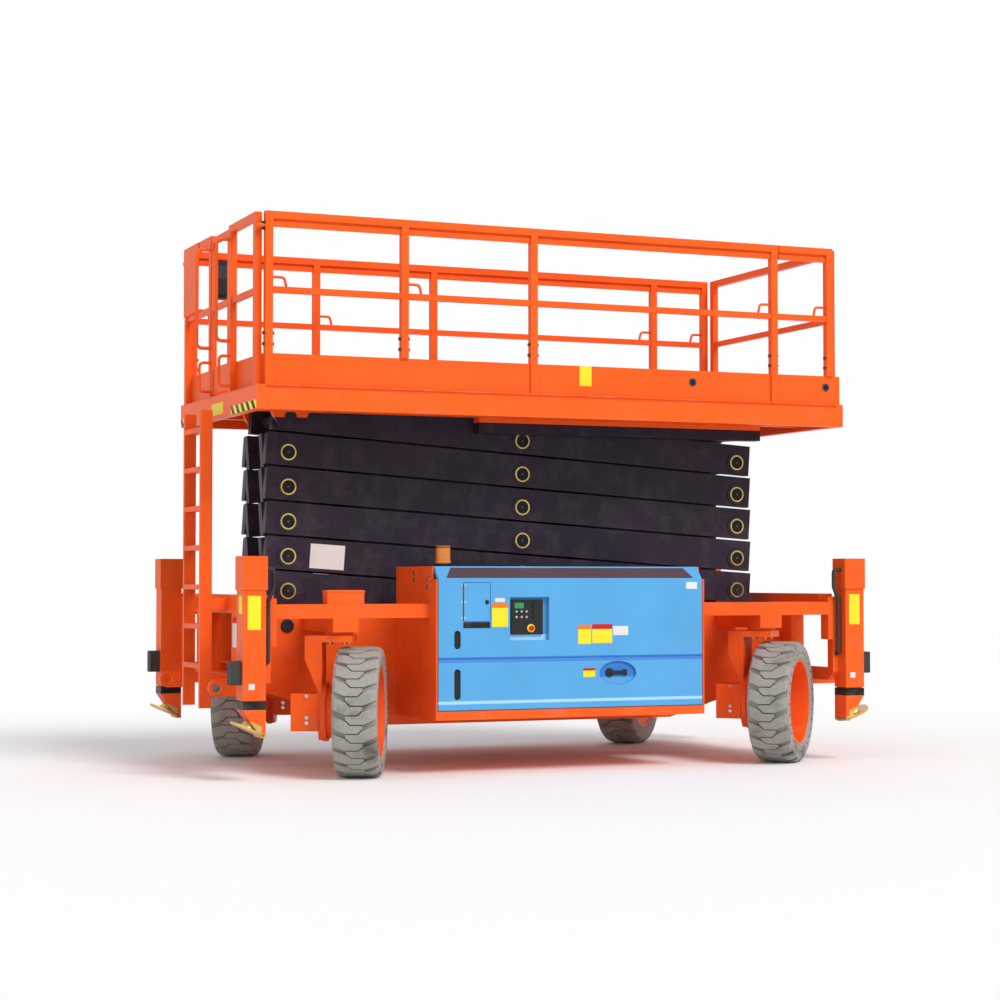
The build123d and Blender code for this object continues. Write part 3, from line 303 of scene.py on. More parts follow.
class Finishes:
    """All materials, made once from the colours."""

    def __init__(self, colours, sizes):
        self.colours = colours
        self.wear = sizes.edge_wear
        self.dust, self.edge, self.peel = dust_group(), wear_group(), peel_group()
        c = colours
        self.orange = self.paint("LiftOrange", c.orange, rough=0.44, dust=0.12, coat=0.02)
        self.blue = self.hood_paint("LiftBlue", c.blue)
        self.navy = self.paint("LiftNavy", c.navy, rough=0.42, dust=0.08, fade=6.0,
                               cloud=(0.030, 0.020, 0.038))
        self.black = self.paint("LiftBlack", NEAR_BLACK, rough=0.5, dust=0.25)
        self.band = self.paint("LiftBand", (0.085, 0.052, 0.066), rough=0.4, dust=0.0)
        self.label_yellow = self.paint("LiftLabelYellow", c.label, rough=0.45, dust=0.05)
        self.label_white = self.paint("LiftLabelWhite", (0.78, 0.78, 0.76), rough=0.45, dust=0.05)
        self.shade = self.paint("LiftBlueShade", (0.03, 0.13, 0.36), rough=0.5, dust=0.0)
        self.label_orange = self.paint("LiftLabelOrange", (0.90, 0.22, 0.01), rough=0.45, dust=0.05)
        self.label_red = self.paint("LiftLabelRed", (0.62, 0.02, 0.02), rough=0.45, dust=0.05)
        self.red = self.paint("LiftStopRed", (0.60, 0.02, 0.015), rough=0.3, dust=0.0)
        self.green = self.paint("LiftDisplayGreen", (0.05, 0.30, 0.12), rough=0.2, dust=0.0)
        self.gold = self.metal("LiftZincGold", c.gold, 0.36)
        self.steel = self.metal("LiftZincSteel", (0.62, 0.60, 0.55), 0.32)
        self.chrome = self.metal("LiftRodChrome", (0.72, 0.72, 0.73), 0.12)
        self.iron = self.cast("LiftCastIron", (0.055, 0.055, 0.058))
        self.hose = self.rubber("LiftHose", (0.014, 0.014, 0.014), 0.1)
        self.tyre = self.rubber("LiftTyre", tuple(c.rubber), 0.95)
        self.plastic = self.cast("LiftBlackPlastic", (0.016, 0.016, 0.017), metallic=0.0)
        self.amber = self.lens("LiftAmber", (0.95, 0.30, 0.01))
        self.hazard = self.stripes("LiftHazard", c.label, (0.012, 0.012, 0.012))
        self.floor_plate = self.tread("LiftDeckPlate", c.orange)
        self.leg = self.leg_paint("LiftLeg", c.orange, c.gold)
        self.deck = self.deck_paint("LiftDeck", c.orange, c.navy)

    def start(self, name):
        """New material with its shader at hand."""
        material = bpy.data.materials.new(name)
        material.use_nodes = True
        tree = material.node_tree
        return material, tree, tree.nodes["Principled BSDF"]

    def bump(self, tree, shader, height, strength, distance):
        """Bump from a height socket into the shader."""
        made = node(tree, "ShaderNodeBump", [(height, "Height")])
        put(made, Strength=strength, Distance=distance)
        tree.links.new(made.outputs[0], shader.inputs["Normal"])

    def coated(self, tree, shader, colour_socket, rough, dust, fade, wear):
        """Dust and edge wear over a colour, into the shader."""
        put(shader, Specular_IOR_Level=0.14)
        dusty = group_node(tree, self.dust, Amount=dust, Fade_height=fade).outputs[0]
        worn = group_node(tree, self.edge, Amount=wear).outputs[0]
        primed = blend(tree, worn, colour_socket, (0.16, 0.13, 0.12))
        tree.links.new(blend(tree, dusty, primed, tuple(self.colours.dust)), shader.inputs["Base Color"])
        tree.links.new(scaled(tree, dusty, 0.6, rough), shader.inputs["Roughness"])

    def between(self, tree, value, low, high):
        """Mask of a value that lies between two limits."""
        above = maths(tree, "GREATER_THAN", value, low)
        return maths(tree, "MULTIPLY", above, maths(tree, "LESS_THAN", value, high))

    def paint(self, name, colour, rough, dust, coat=0.0, cloud=None, fade=1.6):
        """Sprayed paint with orange peel, slight shade clouds, dust and worn edges."""
        material, tree, shader = self.start(name)
        peel = group_node(tree, self.peel)
        base = tuple(colour)
        tint = blend(tree, peel.outputs["Cloud"], base, cloud or shaded(base, 0.86))
        self.coated(tree, shader, tint, rough, dust, fade, self.wear)
        self.bump(tree, shader, peel.outputs["Height"], 0.12, 0.002)
        put(shader, Coat_Weight=coat, Coat_Roughness=0.12)
        return material

    def hood_paint(self, name, colour):
        """Hood paint with painted shade in the crease, recess and bowl and a painted highlight on the folds
        below them.
        """
        material, tree, shader = self.start(name)
        coords = object_coords(tree)
        x, y, z = split(tree, coords)
        peel = group_node(tree, self.peel)
        base = tuple(colour)
        tint = blend(tree, peel.outputs["Cloud"], base, shaded(base, 0.92))
        # Colours of the painted shade and the painted highlight
        dark, painted_highlight = (0.04, 0.20, 0.58), (0.36, 0.66, 0.94)
        # Painted shade band in the crease and painted highlight band along the bottom fold
        for (low, high), shade in ((CREASE_SHADE_Z, dark), (FOLD_HIGHLIGHT_Z, painted_highlight)):
            tint = blend(tree, self.between(tree, z, low, high), tint, shade)
        near = maths(tree, "LESS_THAN", y, 0.0)
        # Painted highlight on the recess sill and painted shade on its side, only where the face is set
        # back
        for (left, right, low, high), shade in ((RECESS_SILL_HIGHLIGHT, painted_highlight), (RECESS_SIDE_SHADE, dark)):
            patch = maths(tree, "MULTIPLY", self.between(tree, x, left, right),
                          self.between(tree, z, low, high))
            deep = maths(tree, "MULTIPLY", maths(tree, "GREATER_THAN", y, HOOD_FACE + 0.001), near)
            tint = blend(tree, maths(tree, "MULTIPLY", patch, deep), tint, shade)
        # Painted shade over the upper part of the oval bowl of the handle recess
        spread = node(tree, "ShaderNodeMapping", [(coords, "Vector")])
        put(spread, Scale=(1 / BOWL_HALF_X, 0, 1 / BOWL_HALF_Z),
            Location=(-BOWL_X / BOWL_HALF_X, 0, -BOWL_Z / BOWL_HALF_Z))
        reach = node(tree, "ShaderNodeVectorMath", [(spread.outputs[0], 0)], operation="LENGTH")
        bowl = maths(tree, "MULTIPLY", maths(tree, "LESS_THAN", reach.outputs["Value"], 1.0), near)
        bowl = maths(tree, "MULTIPLY", bowl, span(tree, z, BOWL_Z - 0.035, BOWL_Z - 0.015))
        tint = blend(tree, bowl, tint, dark)
        self.coated(tree, shader, tint, 0.36, 0.06, 1.6, self.wear * 0.5)
        self.bump(tree, shader, peel.outputs["Height"], 0.1, 0.002)
        return material

    def metal(self, name, colour, rough):
        """Plated metal with fine turning grain."""
        material, tree, shader = self.start(name)
        coords = object_coords(tree)
        grain = noise(tree, coords, 220.0, 2.0)
        cloud = span(tree, noise(tree, coords, 14.0), 0.3, 0.7)
        base = tuple(colour)
        tree.links.new(blend(tree, cloud, base, shaded(base, 0.72)), shader.inputs["Base Color"])
        tree.links.new(scaled(tree, grain, 0.18, rough - 0.09), shader.inputs["Roughness"])
        put(shader, Metallic=1.0)
        return material

    def cast(self, name, colour, metallic=0.6):
        """Rough casting or moulded plastic skin."""
        material, tree, shader = self.start(name)
        grain = noise(tree, object_coords(tree), 140.0, 4.0)
        tree.links.new(blend(tree, grain, colour, shaded(colour, 1.6)), shader.inputs["Base Color"])
        put(shader, Roughness=0.58, Metallic=metallic, Specular_IOR_Level=0.2)
        self.bump(tree, shader, grain, 0.25, 0.002)
        return material

    def rubber(self, name, colour, dusty):
        """Rubber under patches of dry dust."""
        material, tree, shader = self.start(name)
        coords = object_coords(tree)
        fine = noise(tree, coords, 90.0, 5.0)
        patch = span(tree, noise(tree, coords, 5.0, 4.0), 0.12, 0.50)
        mask = maths(tree, "MULTIPLY", scaled(tree, fine, 0.5, 0.50), patch)
        mask = maths(tree, "MULTIPLY", mask, dusty)
        tree.links.new(blend(tree, mask, colour, tuple(self.colours.dust)), shader.inputs["Base Color"])
        tree.links.new(scaled(tree, mask, 0.3, 0.62), shader.inputs["Roughness"])
        self.bump(tree, shader, fine, 0.3, 0.002)
        put(shader, Specular_IOR_Level=0.2)
        return material

    def lens(self, name, colour):
        """Ribbed amber lens of the beacon."""
        material, tree, shader = self.start(name)
        ribs = node(tree, "ShaderNodeTexWave", [(object_coords(tree), "Vector")], bands_direction="Z")
        put(ribs, Scale=30.0)
        tint = blend(tree, ribs.outputs[1], colour, shaded(colour, 0.6))
        tree.links.new(tint, shader.inputs["Base Color"])
        put(shader, Roughness=0.15, Coat_Weight=0.6)
        self.bump(tree, shader, ribs.outputs[1], 0.4, 0.002)
        return material

    def stripes(self, name, light, dark):
        """Slanted hazard stripes."""
        material, tree, shader = self.start(name)
        turn = node(tree, "ShaderNodeMapping", [(object_coords(tree), "Vector")])
        put(turn, Rotation=(math.radians(45), 0, 0))
        along = split(tree, turn.outputs[0])[1]
        wave = maths(tree, "FRACT", maths(tree, "DIVIDE", along, STRIPE_PITCH), 0.0)
        bar = maths(tree, "GREATER_THAN", wave, 0.5)
        self.coated(tree, shader, blend(tree, bar, tuple(light), dark), 0.4, 0.1, 4.0, self.wear)
        return material

    def tread(self, name, colour):
        """Painted chequer plate of the deck."""
        material, tree, shader = self.start(name)
        checks = node(tree, "ShaderNodeTexVoronoi", [(object_coords(tree), "Vector")], feature="F1")
        put(checks, Scale=28.0)
        raised = span(tree, checks.outputs["Distance"], 0.45, 0.25)
        peel = group_node(tree, self.peel)
        base = tuple(colour)
        tint = blend(tree, peel.outputs["Cloud"], base, shaded(base, 0.8))
        self.coated(tree, shader, tint, 0.45, 0.5, 8.0, self.wear)
        self.bump(tree, shader, raised, 0.6, 0.003)
        return material

    def leg_paint(self, name, colour, gold):
        """Orange leg with a black collar and a zinc foot, found by the foot's tilted plane."""
        material, tree, shader = self.start(name)
        parts = split(tree, object_coords(tree))
        reach = node(tree, "ShaderNodeMath", [(parts[0], 0)], operation="ABSOLUTE").outputs[0]
        rise = math.tan(math.radians(FOOT_TILT))
        slope = node(tree, "ShaderNodeMath", [(reach, 0)], operation="MULTIPLY_ADD")
        slope.inputs[1].default_value = rise
        slope.inputs[2].default_value = FOOT_Z + FOOT_SKIN - FOOT_X * rise
        foot = maths(tree, "LESS_THAN", parts[2], slope.outputs[0])
        over = node(tree, "ShaderNodeMath", [(parts[2], 0), (slope.outputs[0], 1)], operation="SUBTRACT")
        hub = maths(tree, "MULTIPLY", maths(tree, "LESS_THAN", over.outputs[0], HUB_RISE),
                    self.between(tree, reach, FOOT_X - HUB_HALF, FOOT_X + HUB_HALF))
        foot = maths(tree, "ADD", foot, hub)
        band = self.between(tree, parts[2], *COLLAR_Z)
        tint = blend(tree, band, blend(tree, foot, tuple(colour), tuple(gold)), NEAR_BLACK)
        self.coated(tree, shader, tint, 0.38, 0.2, 1.6, self.wear)
        tree.links.new(maths(tree, "MULTIPLY", foot, 0.9), shader.inputs["Metallic"])
        return material

    def deck_paint(self, name, colour, dark):
        """Orange deck whose slide tracks and ears below the beams are dark, as painted shade."""
        material, tree, shader = self.start(name)
        below = maths(tree, "LESS_THAN", split(tree, object_coords(tree))[2], DECK_SHADE_BELOW)
        # The dark colour is painted shade under the deck
        tint = blend(tree, below, tuple(colour), tuple(dark))
        self.coated(tree, shader, tint, 0.4, 0.1, 4.0, self.wear)
        return material


FINISH = {}


def finishes():
    """Materials of this run."""
    if "all" not in FINISH:
        scene = bpy.context.scene
        FINISH["all"] = Finishes(scene.lift_colours, scene.lift_sizes)
    return FINISH["all"]


def coat(node_name, material):
    """Gives a CAD node its finish."""
    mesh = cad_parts[node_name].data
    mesh.materials.clear()
    mesh.materials.append(material)


# Mesh helpers

def settle(name, mesh, body):
    """Makes an object of a mesh that rides on a body."""
    made = bpy.data.objects.new(name, mesh)
    bpy.context.scene.collection.objects.link(made)
    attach(made, body)


def smooth(mesh):
    """Smooth faces between sharp edges."""
    mesh.shade_smooth()
    mesh.set_sharp_from_angle(angle=SHARP_ANGLE)


class Maker:
    """Collects shapes of one piece in one mesh."""

    def __init__(self):
        self.bm = bmesh.new()

    def box(self, low, high, bevel=0.0):
        """Box between two corners, with rounded edges where asked."""
        low, high = Vector(low), Vector(high)
        place = Matrix.Translation((low + high) / 2) @ Matrix.Diagonal((*(high - low), 1.0))
        made = bmesh.ops.create_cube(self.bm, size=1.0, matrix=place)
        if bevel:
            edges = {e for v in made["verts"] for e in v.link_edges}
            bmesh.ops.bevel(self.bm, geom=list(edges), offset=bevel, segments=2, affect="EDGES",
                            profile=0.6)

    def lathe(self, centre, axis, outline, steps=32):
        """Solid turned about an axis from (along, radius) points."""
        axis = Vector(axis).normalized()
        side = axis.orthogonal().normalized()
        other = axis.cross(side)
        centre = Vector(centre)
        circles = []
        for along, radius in outline:
            if radius < 1e-6:
                circles.append([self.bm.verts.new(centre + axis * along)])
                continue
            circle = []
            for i in range(steps):
                turn = 2 * math.pi * i / steps
                spoke = side * math.cos(turn) + other * math.sin(turn)
                circle.append(self.bm.verts.new(centre + axis * along + spoke * radius))
            circles.append(circle)
        for a, b in zip(circles[:-1], circles[1:]):
            for i in range(steps):
                j = (i + 1) % steps
                quad = [a[i % len(a)], a[j % len(a)], b[j % len(b)], b[i % len(b)]]
                loop = [v for n, v in enumerate(quad) if v not in quad[:n]]
                if len(loop) > 2:
                    self.bm.faces.new(loop)

    def finish(self, name, material, body, slot):
        """Turns the shapes into an object that rides on a body."""
        bmesh.ops.remove_doubles(self.bm, verts=self.bm.verts, dist=1e-6)
        bmesh.ops.recalc_face_normals(self.bm, faces=self.bm.faces)
        mesh = bpy.data.meshes.new(name)
        self.bm.to_mesh(mesh)
        self.bm.free()
        mesh.materials.append(material)
        smooth(mesh)
        settle(name, mesh, body)


# Geometry nodes

def tree_start(name, sockets):
    """Geometry tree with named inputs."""
    tree = bpy.data.node_groups.new(name, "GeometryNodeTree")
    tree.interface.new_socket("Geometry", in_out="INPUT", socket_type="NodeSocketGeometry")
    for label, kind, default in sockets:
        sock = tree.interface.new_socket(label, in_out="INPUT", socket_type=kind)
        if default is not None:
            sock.default_value = default
    tree.interface.new_socket("Geometry", in_out="OUTPUT", socket_type="NodeSocketGeometry")
    return tree, tree.nodes.new("NodeGroupInput"), tree.nodes.new("NodeGroupOutput")


def tree_end(tree, shape, source, sink):
    """Places a shape on the points, turned to their aim, realizes it and sets the material."""
    aim = tree.nodes.new("GeometryNodeInputNamedAttribute")
    aim.data_type = "FLOAT_VECTOR"
    aim.inputs["Name"].default_value = "aim"
    turn = tree.nodes.new("FunctionNodeAlignRotationToVector")
    turn.axis = "Z"
    place = tree.nodes.new("GeometryNodeInstanceOnPoints")
    real = tree.nodes.new("GeometryNodeRealizeInstances")
    paint = tree.nodes.new("GeometryNodeSetMaterial")
    link = tree.links.new
    link(aim.outputs[0], turn.inputs["Vector"])
    link(source.outputs["Geometry"], place.inputs["Points"])
    link(shape, place.inputs["Instance"])
    link(turn.outputs[0], place.inputs["Rotation"])
    link(place.outputs[0], real.inputs[0])
    link(real.outputs[0], paint.inputs[0])
    link(source.outputs["Material"], paint.inputs["Material"])
    link(paint.outputs[0], sink.inputs[0])


def ring_tree():
    """Flat ring on every point, such as the end ring of a pin."""
    tree, source, sink = tree_start("LiftRings", [
        ("Radius", "NodeSocketFloat", 0.05), ("Width", "NodeSocketFloat", 0.02),
        ("Depth", "NodeSocketFloat", 0.006), ("Material", "NodeSocketMaterial", None),
    ])
    circle = tree.nodes.new("GeometryNodeCurvePrimitiveCircle")
    circle.inputs["Resolution"].default_value = 40
    section = tree.nodes.new("GeometryNodeCurvePrimitiveQuadrilateral")
    sweep = tree.nodes.new("GeometryNodeCurveToMesh")
    link = tree.links.new
    link(source.outputs["Radius"], circle.inputs["Radius"])
    link(source.outputs["Width"], section.inputs["Width"])
    link(source.outputs["Depth"], section.inputs["Height"])
    link(circle.outputs[0], sweep.inputs[0])
    link(section.outputs[0], sweep.inputs[1])
    tree_end(tree, sweep.outputs[0], source, sink)
    return tree


def stud_tree():
    """Short stud on every point: a bolt head with six sides or a round button."""
    tree, source, sink = tree_start("LiftStuds", [
        ("Sides", "NodeSocketInt", 6), ("Radius", "NodeSocketFloat", 0.016),
        ("Depth", "NodeSocketFloat", 0.012), ("Material", "NodeSocketMaterial", None),
    ])
    head = tree.nodes.new("GeometryNodeMeshCylinder")
    link = tree.links.new
    link(source.outputs["Sides"], head.inputs["Vertices"])
    link(source.outputs["Radius"], head.inputs["Radius"])
    link(source.outputs["Depth"], head.inputs["Depth"])
    tree_end(tree, head.outputs[0], source, sink)
    return tree


def scatter(name, tree, spots, body, slot, **inputs):
    """Runs a tree on (place, aim) spots and keeps the result as a plain mesh that rides on a body."""
    cloud = bpy.data.meshes.new(name + "Spots")
    cloud.from_pydata([tuple(place) for place, aim in spots], [], [])
    aims = cloud.attributes.new("aim", "FLOAT_VECTOR", "POINT")
    for i, (place, aim) in enumerate(spots):
        aims.data[i].vector = Vector(aim).normalized()
    carrier = bpy.data.objects.new(name + "Spots", cloud)
    bpy.context.scene.collection.objects.link(carrier)
    modifier = carrier.modifiers.new("Tree", "NODES")
    modifier.node_group = tree
    names = {s.name: s.identifier for s in tree.interface.items_tree if s.in_out == "INPUT"}
    for key, value in inputs.items():
        modifier[names[key]] = value
    bpy.context.view_layer.update()
    done = carrier.evaluated_get(bpy.context.evaluated_depsgraph_get())
    mesh = bpy.data.meshes.new_from_object(done)
    mesh.name = name
    bpy.data.objects.remove(carrier)
    if not mesh.materials:
        mesh.materials.append(inputs["Material"])
    smooth(mesh)
    settle(name, mesh, body)


TREES = {}


def tree_of(kind):
    """The shared ring or stud tree."""
    if kind not in TREES:
        TREES[kind] = ring_tree() if kind == "ring" else stud_tree()
    return TREES[kind]


def studs(name, spots, body, slot, material, radius, depth, sides=6):
    """Studs of one size on (place, aim) spots."""
    scatter(name, tree_of("stud"), spots, body, slot,
            Sides=sides, Radius=radius, Depth=depth, Material=material)


def rings(name, spots, body, slot, material, radius, width, depth):
    """Rings of one size on (place, aim) spots."""
    scatter(name, tree_of("ring"), spots, body, slot,
            Radius=radius, Width=width, Depth=depth, Material=material)


# Fittings

def outer_pins(level):
    """Pin ends of one outer arm pair, as (x, z)."""
    rear, front = BASE_PIN_Z + level * LEVEL_PITCH, BASE_PIN_Z + (level - 1) * LEVEL_PITCH
    return [(-PIN_X, rear), (0.0, (rear + front) / 2), (PIN_X, front)]


def wheel_frame(corner):
    """Kingpin place and outward direction of a wheel."""
    end, side = corner.split("_")
    x = WHEEL_X if end == "front" else -WHEEL_X
    turn = math.radians(STEER[end])
    sign = 1 if side == "left" else -1
    return Vector((x, WHEEL_Y * sign, WHEEL_Z)), Vector((-math.sin(turn), math.cos(turn), 0)) * sign


def circle_spots(place, out, count, along, radius):
    """Spots on a circle about a wheel's axle, as (place, aim)."""
    across = UP.cross(out)
    spots = []
    for i in range(count):
        turn = 2 * math.pi * i / count
        spoke = across * math.cos(turn) + UP * math.sin(turn)
        spots.append((place + out * along + spoke * radius, out))
    return spots


class LIFT_OT_pin_rings(bpy.types.Operator):
    """Add the gold ring, dark core and bolt to the pin ends of the outer arms"""
    bl_idname = "lift.pin_rings"
    bl_label = "Pin rings"

    def execute(self, context):
        f = finishes()
        s = context.scene.lift_sizes
        mid = (s.ring_radius + s.ring_bore) / 2
        for level in ARM_LEVELS:
            spots = [((x, side * (ARM_FACE + 0.003), z), (0, side, 0))
                     for x, z in outer_pins(level) for side in (-1, 1)]
            # The lowest front pin and the highest rear pin have no ring
            if level == ARM_LEVELS[0]:
                spots = spots[:4]
            if level == ARM_LEVELS[-1]:
                spots = spots[2:]
            body = f"outer_{level}"
            rings(f"PinRings{level}", spots, body, "zinc", f.gold,
                  radius=mid, width=s.ring_radius - s.ring_bore, depth=0.005)
            studs(f"PinCores{level}", spots, body, "black_steel", f.black,
                  radius=s.ring_bore, depth=0.0045, sides=32)
            studs(f"PinBolts{level}", spots, body, "dark_cast", f.iron, radius=0.010, depth=0.0055)
        return {"FINISHED"}


class LIFT_OT_wheel_bolts(bpy.types.Operator):
    """Bolt the rims, drive boxes and kingpins and mark the pockets of the tyres with black discs of painted
    shade
    """
    bl_idname = "lift.wheel_bolts"
    bl_label = "Wheel bolts"

    def execute(self, context):
        f = finishes()
        s = context.scene.lift_sizes
        for corner in CORNERS:
            place, out = wheel_frame(corner)
            across = UP.cross(out)
            wheel, knuckle = f"{corner}_wheel", f"{corner}_knuckle"
            ring = circle_spots(place, out, s.wheel_bolts, RIM_BOLT_OUT, RIM_BOLT_CIRCLE)
            studs(f"RimBolts_{corner}", ring, wheel, "zinc", f.steel, radius=s.bolt_radius, depth=0.014)
            # Black discs on the sidewall are painted shade for the hollows of the pockets
            pockets = circle_spots(place, out, s.tyre_pockets, POCKET_OUT, POCKET_CIRCLE)
            studs(f"TyrePockets_{corner}", pockets, wheel, "tyre_rubber", f.black,
                  radius=0.009, depth=0.0016, sides=12)
            box_bolts = []
            for side in (-1, 1):
                for z in DRIVE_BOLTS_Z:
                    spot = place + out * DRIVE_BOX_OUT + across * (DRIVE_BOX_HALF * side)
                    box_bolts.append((Vector((spot.x, spot.y, z)), across * side))
            studs(f"DriveBolts_{corner}", box_bolts, knuckle, "zinc", f.steel, radius=0.013, depth=0.016)
            pin = Vector((place.x, place.y, KINGPIN_Z)) - UP * KINGPIN_DROP
            rim = [(pin + (out * math.cos(t) + across * math.sin(t)) * KINGPIN_CIRCLE, (0, 0, -1))
                   for t in KINGPIN_TURNS]
            studs(f"KingpinBolts_{corner}", rim, knuckle, "zinc", f.gold, radius=0.013, depth=0.016)
        return {"FINISHED"}


class LIFT_OT_hood_fittings(bpy.types.Operator):
    """Add the dark chamfer band, handle, slot linings and fuel door's hinge, gap line and latch"""
    bl_idname = "lift.hood_fittings"
    bl_label = "Hood fittings"

    def execute(self, context):
        f = finishes()
        self.band(f)
        self.handle(f)
        lining = Maker()
        for low, high in SLOTS_Z:
            lining.box((SLOTS_X[0], HOOD_FACE + 0.014, low), (SLOTS_X[1], HOOD_FACE + 0.022, high))
        lining.finish("SlotLinings", f.plastic, "near_hood", "black_plastic")
        self.hinge(f)
        gap = Maker()
        left, right, low, high = DOOR
        line, skin = 0.003, HOOD_FACE - 0.0006
        gap.box((left, skin, high), (right, HOOD_FACE, high + line))
        gap.box((left, skin, low - line), (right, HOOD_FACE, low))
        gap.box((right, skin, low - line), (right + line, HOOD_FACE, high + line))
        gap.finish("DoorGap", f.shade, "near_hood", "blue_paint")
        latch = Maker()
        latch.lathe((-0.622, HOOD_FACE - 0.0005, 1.125), (0, -1, 0),
                    [(0, 0), (0, 0.014), (0.006, 0.012), (0.008, 0)], 20)
        latch.box((-0.626, HOOD_FACE - 0.011, 1.113), (-0.618, HOOD_FACE - 0.006, 1.137), 0.002)
        latch.finish("DoorLatch", f.plastic, "fuel_door", "black_plastic")
        return {"FINISHED"}

    def hinge(self, f):
        """Fuel door's hinge: a barrel on the door's axis, with three leaves each on door and hood."""
        barrel = Maker()
        barrel.lathe((DOOR_AXIS_X, HOOD_FACE, 1.006), UP,
                     [(0, 0), (0, 0.004), (0.24, 0.004), (0.24, 0)], 36)
        barrel.finish("DoorHinge", f.iron, "fuel_door", "dark_cast")
        for name, body, left, right in (("DoorHingeEars", "near_hood", -0.019, -0.0055),
                                        ("DoorHingeLeaves", "fuel_door", 0.0045, 0.016)):
            leaves = Maker()
            for z in (1.020, 1.126, 1.232):
                leaves.box((DOOR_AXIS_X + left, HOOD_FACE - 0.0025, z - 0.008),
                           (DOOR_AXIS_X + right, HOOD_FACE, z + 0.008), 0.0006)
            leaves.finish(name, f.steel, body, "zinc")

    def band(self, f):
        """Dark plain band along the near hood's chamfer."""
        maker = Maker()
        normal = Vector((0, -0.085, 0.075)).normalized()
        rows = []
        for lift in (0.0003, 0.0016):
            for t, left, right in ((0.10, -0.905, 0.900), (0.88, -0.855, 0.850)):
                at = CHAMFER_LOW.lerp(CHAMFER_HIGH, t) + normal * lift
                rows.append([maker.bm.verts.new((x, at.y, at.z)) for x in (left, right)])
        (a, b), (c, d), (e, g), (h, i) = rows
        for loop in ((a, b, d, c), (e, g, i, h), (a, b, g, e), (c, d, i, h), (a, c, h, e), (b, d, i, g)):
            maker.bm.faces.new(loop)
        maker.finish("NearBand", f.band, "near_hood", "black_steel")

    def handle(self, f):
        """Black paddle latch in the oval recess."""
        maker = Maker()
        y = HOOD_FACE + 0.016
        maker.lathe((0.270, y, 0.650), (0, -1, 0),
                    [(0, 0), (0, 0.030), (0.010, 0.028), (0.012, 0.012), (0.012, 0)], 28)
        maker.box((0.262, y - 0.016, 0.638), (0.390, y - 0.006, 0.663), 0.004)
        maker.box((0.372, y - 0.014, 0.630), (0.396, y - 0.002, 0.671), 0.004)
        maker.finish("HoodHandle", f.plastic, "near_hood", "black_plastic")


class LIFT_OT_ground_controls(bpy.types.Operator):
    """Fit the ground control panel with its display, keys, switches and stop knob"""
    bl_idname = "lift.ground_controls"
    bl_label = "Ground controls"

    def execute(self, context):
        f = finishes()
        left, low, face = PANEL_LEFT, PANEL_LOW, PANEL_FACE
        screen = Maker()
        screen.box((left + 0.022, face - 0.003, low + 0.172), (left + 0.088, face, low + 0.210), 0.001)
        screen.finish("PanelDisplay", f.green, "near_hood", "black_plastic")
        keys = [((left + 0.036 + 0.036 * i, face - 0.002, low + 0.152 - 0.036 * j), (0, -1, 0))
                for i in range(3) for j in range(2)]
        studs("PanelKeys", keys, "near_hood", "black_plastic", f.steel, radius=0.008, depth=0.006, sides=12)
        switches = [((left + 0.160, face - 0.004, low + 0.195 - 0.038 * j), (0, -1, 0)) for j in range(3)]
        studs("PanelSwitches", switches, "near_hood", "black_plastic", f.black,
              radius=0.010, depth=0.012, sides=16)
        collar = Maker()
        collar.lathe((left + 0.140, face, low + 0.042), (0, -1, 0),
                     [(0, 0), (0, 0.027), (0.004, 0.027), (0.005, 0.0)])
        collar.finish("StopCollar", f.label_yellow, "near_hood", "amber")
        knob = Maker()
        knob.lathe((left + 0.140, face - 0.005, low + 0.042), (0, -1, 0),
                   [(0, 0), (0, 0.010), (0.006, 0.010), (0.007, 0.018), (0.012, 0.018), (0.016, 0.012),
                    (0.017, 0)], 28)
        knob.finish("StopKnob", f.red, "near_hood", "amber")
        return {"FINISHED"}


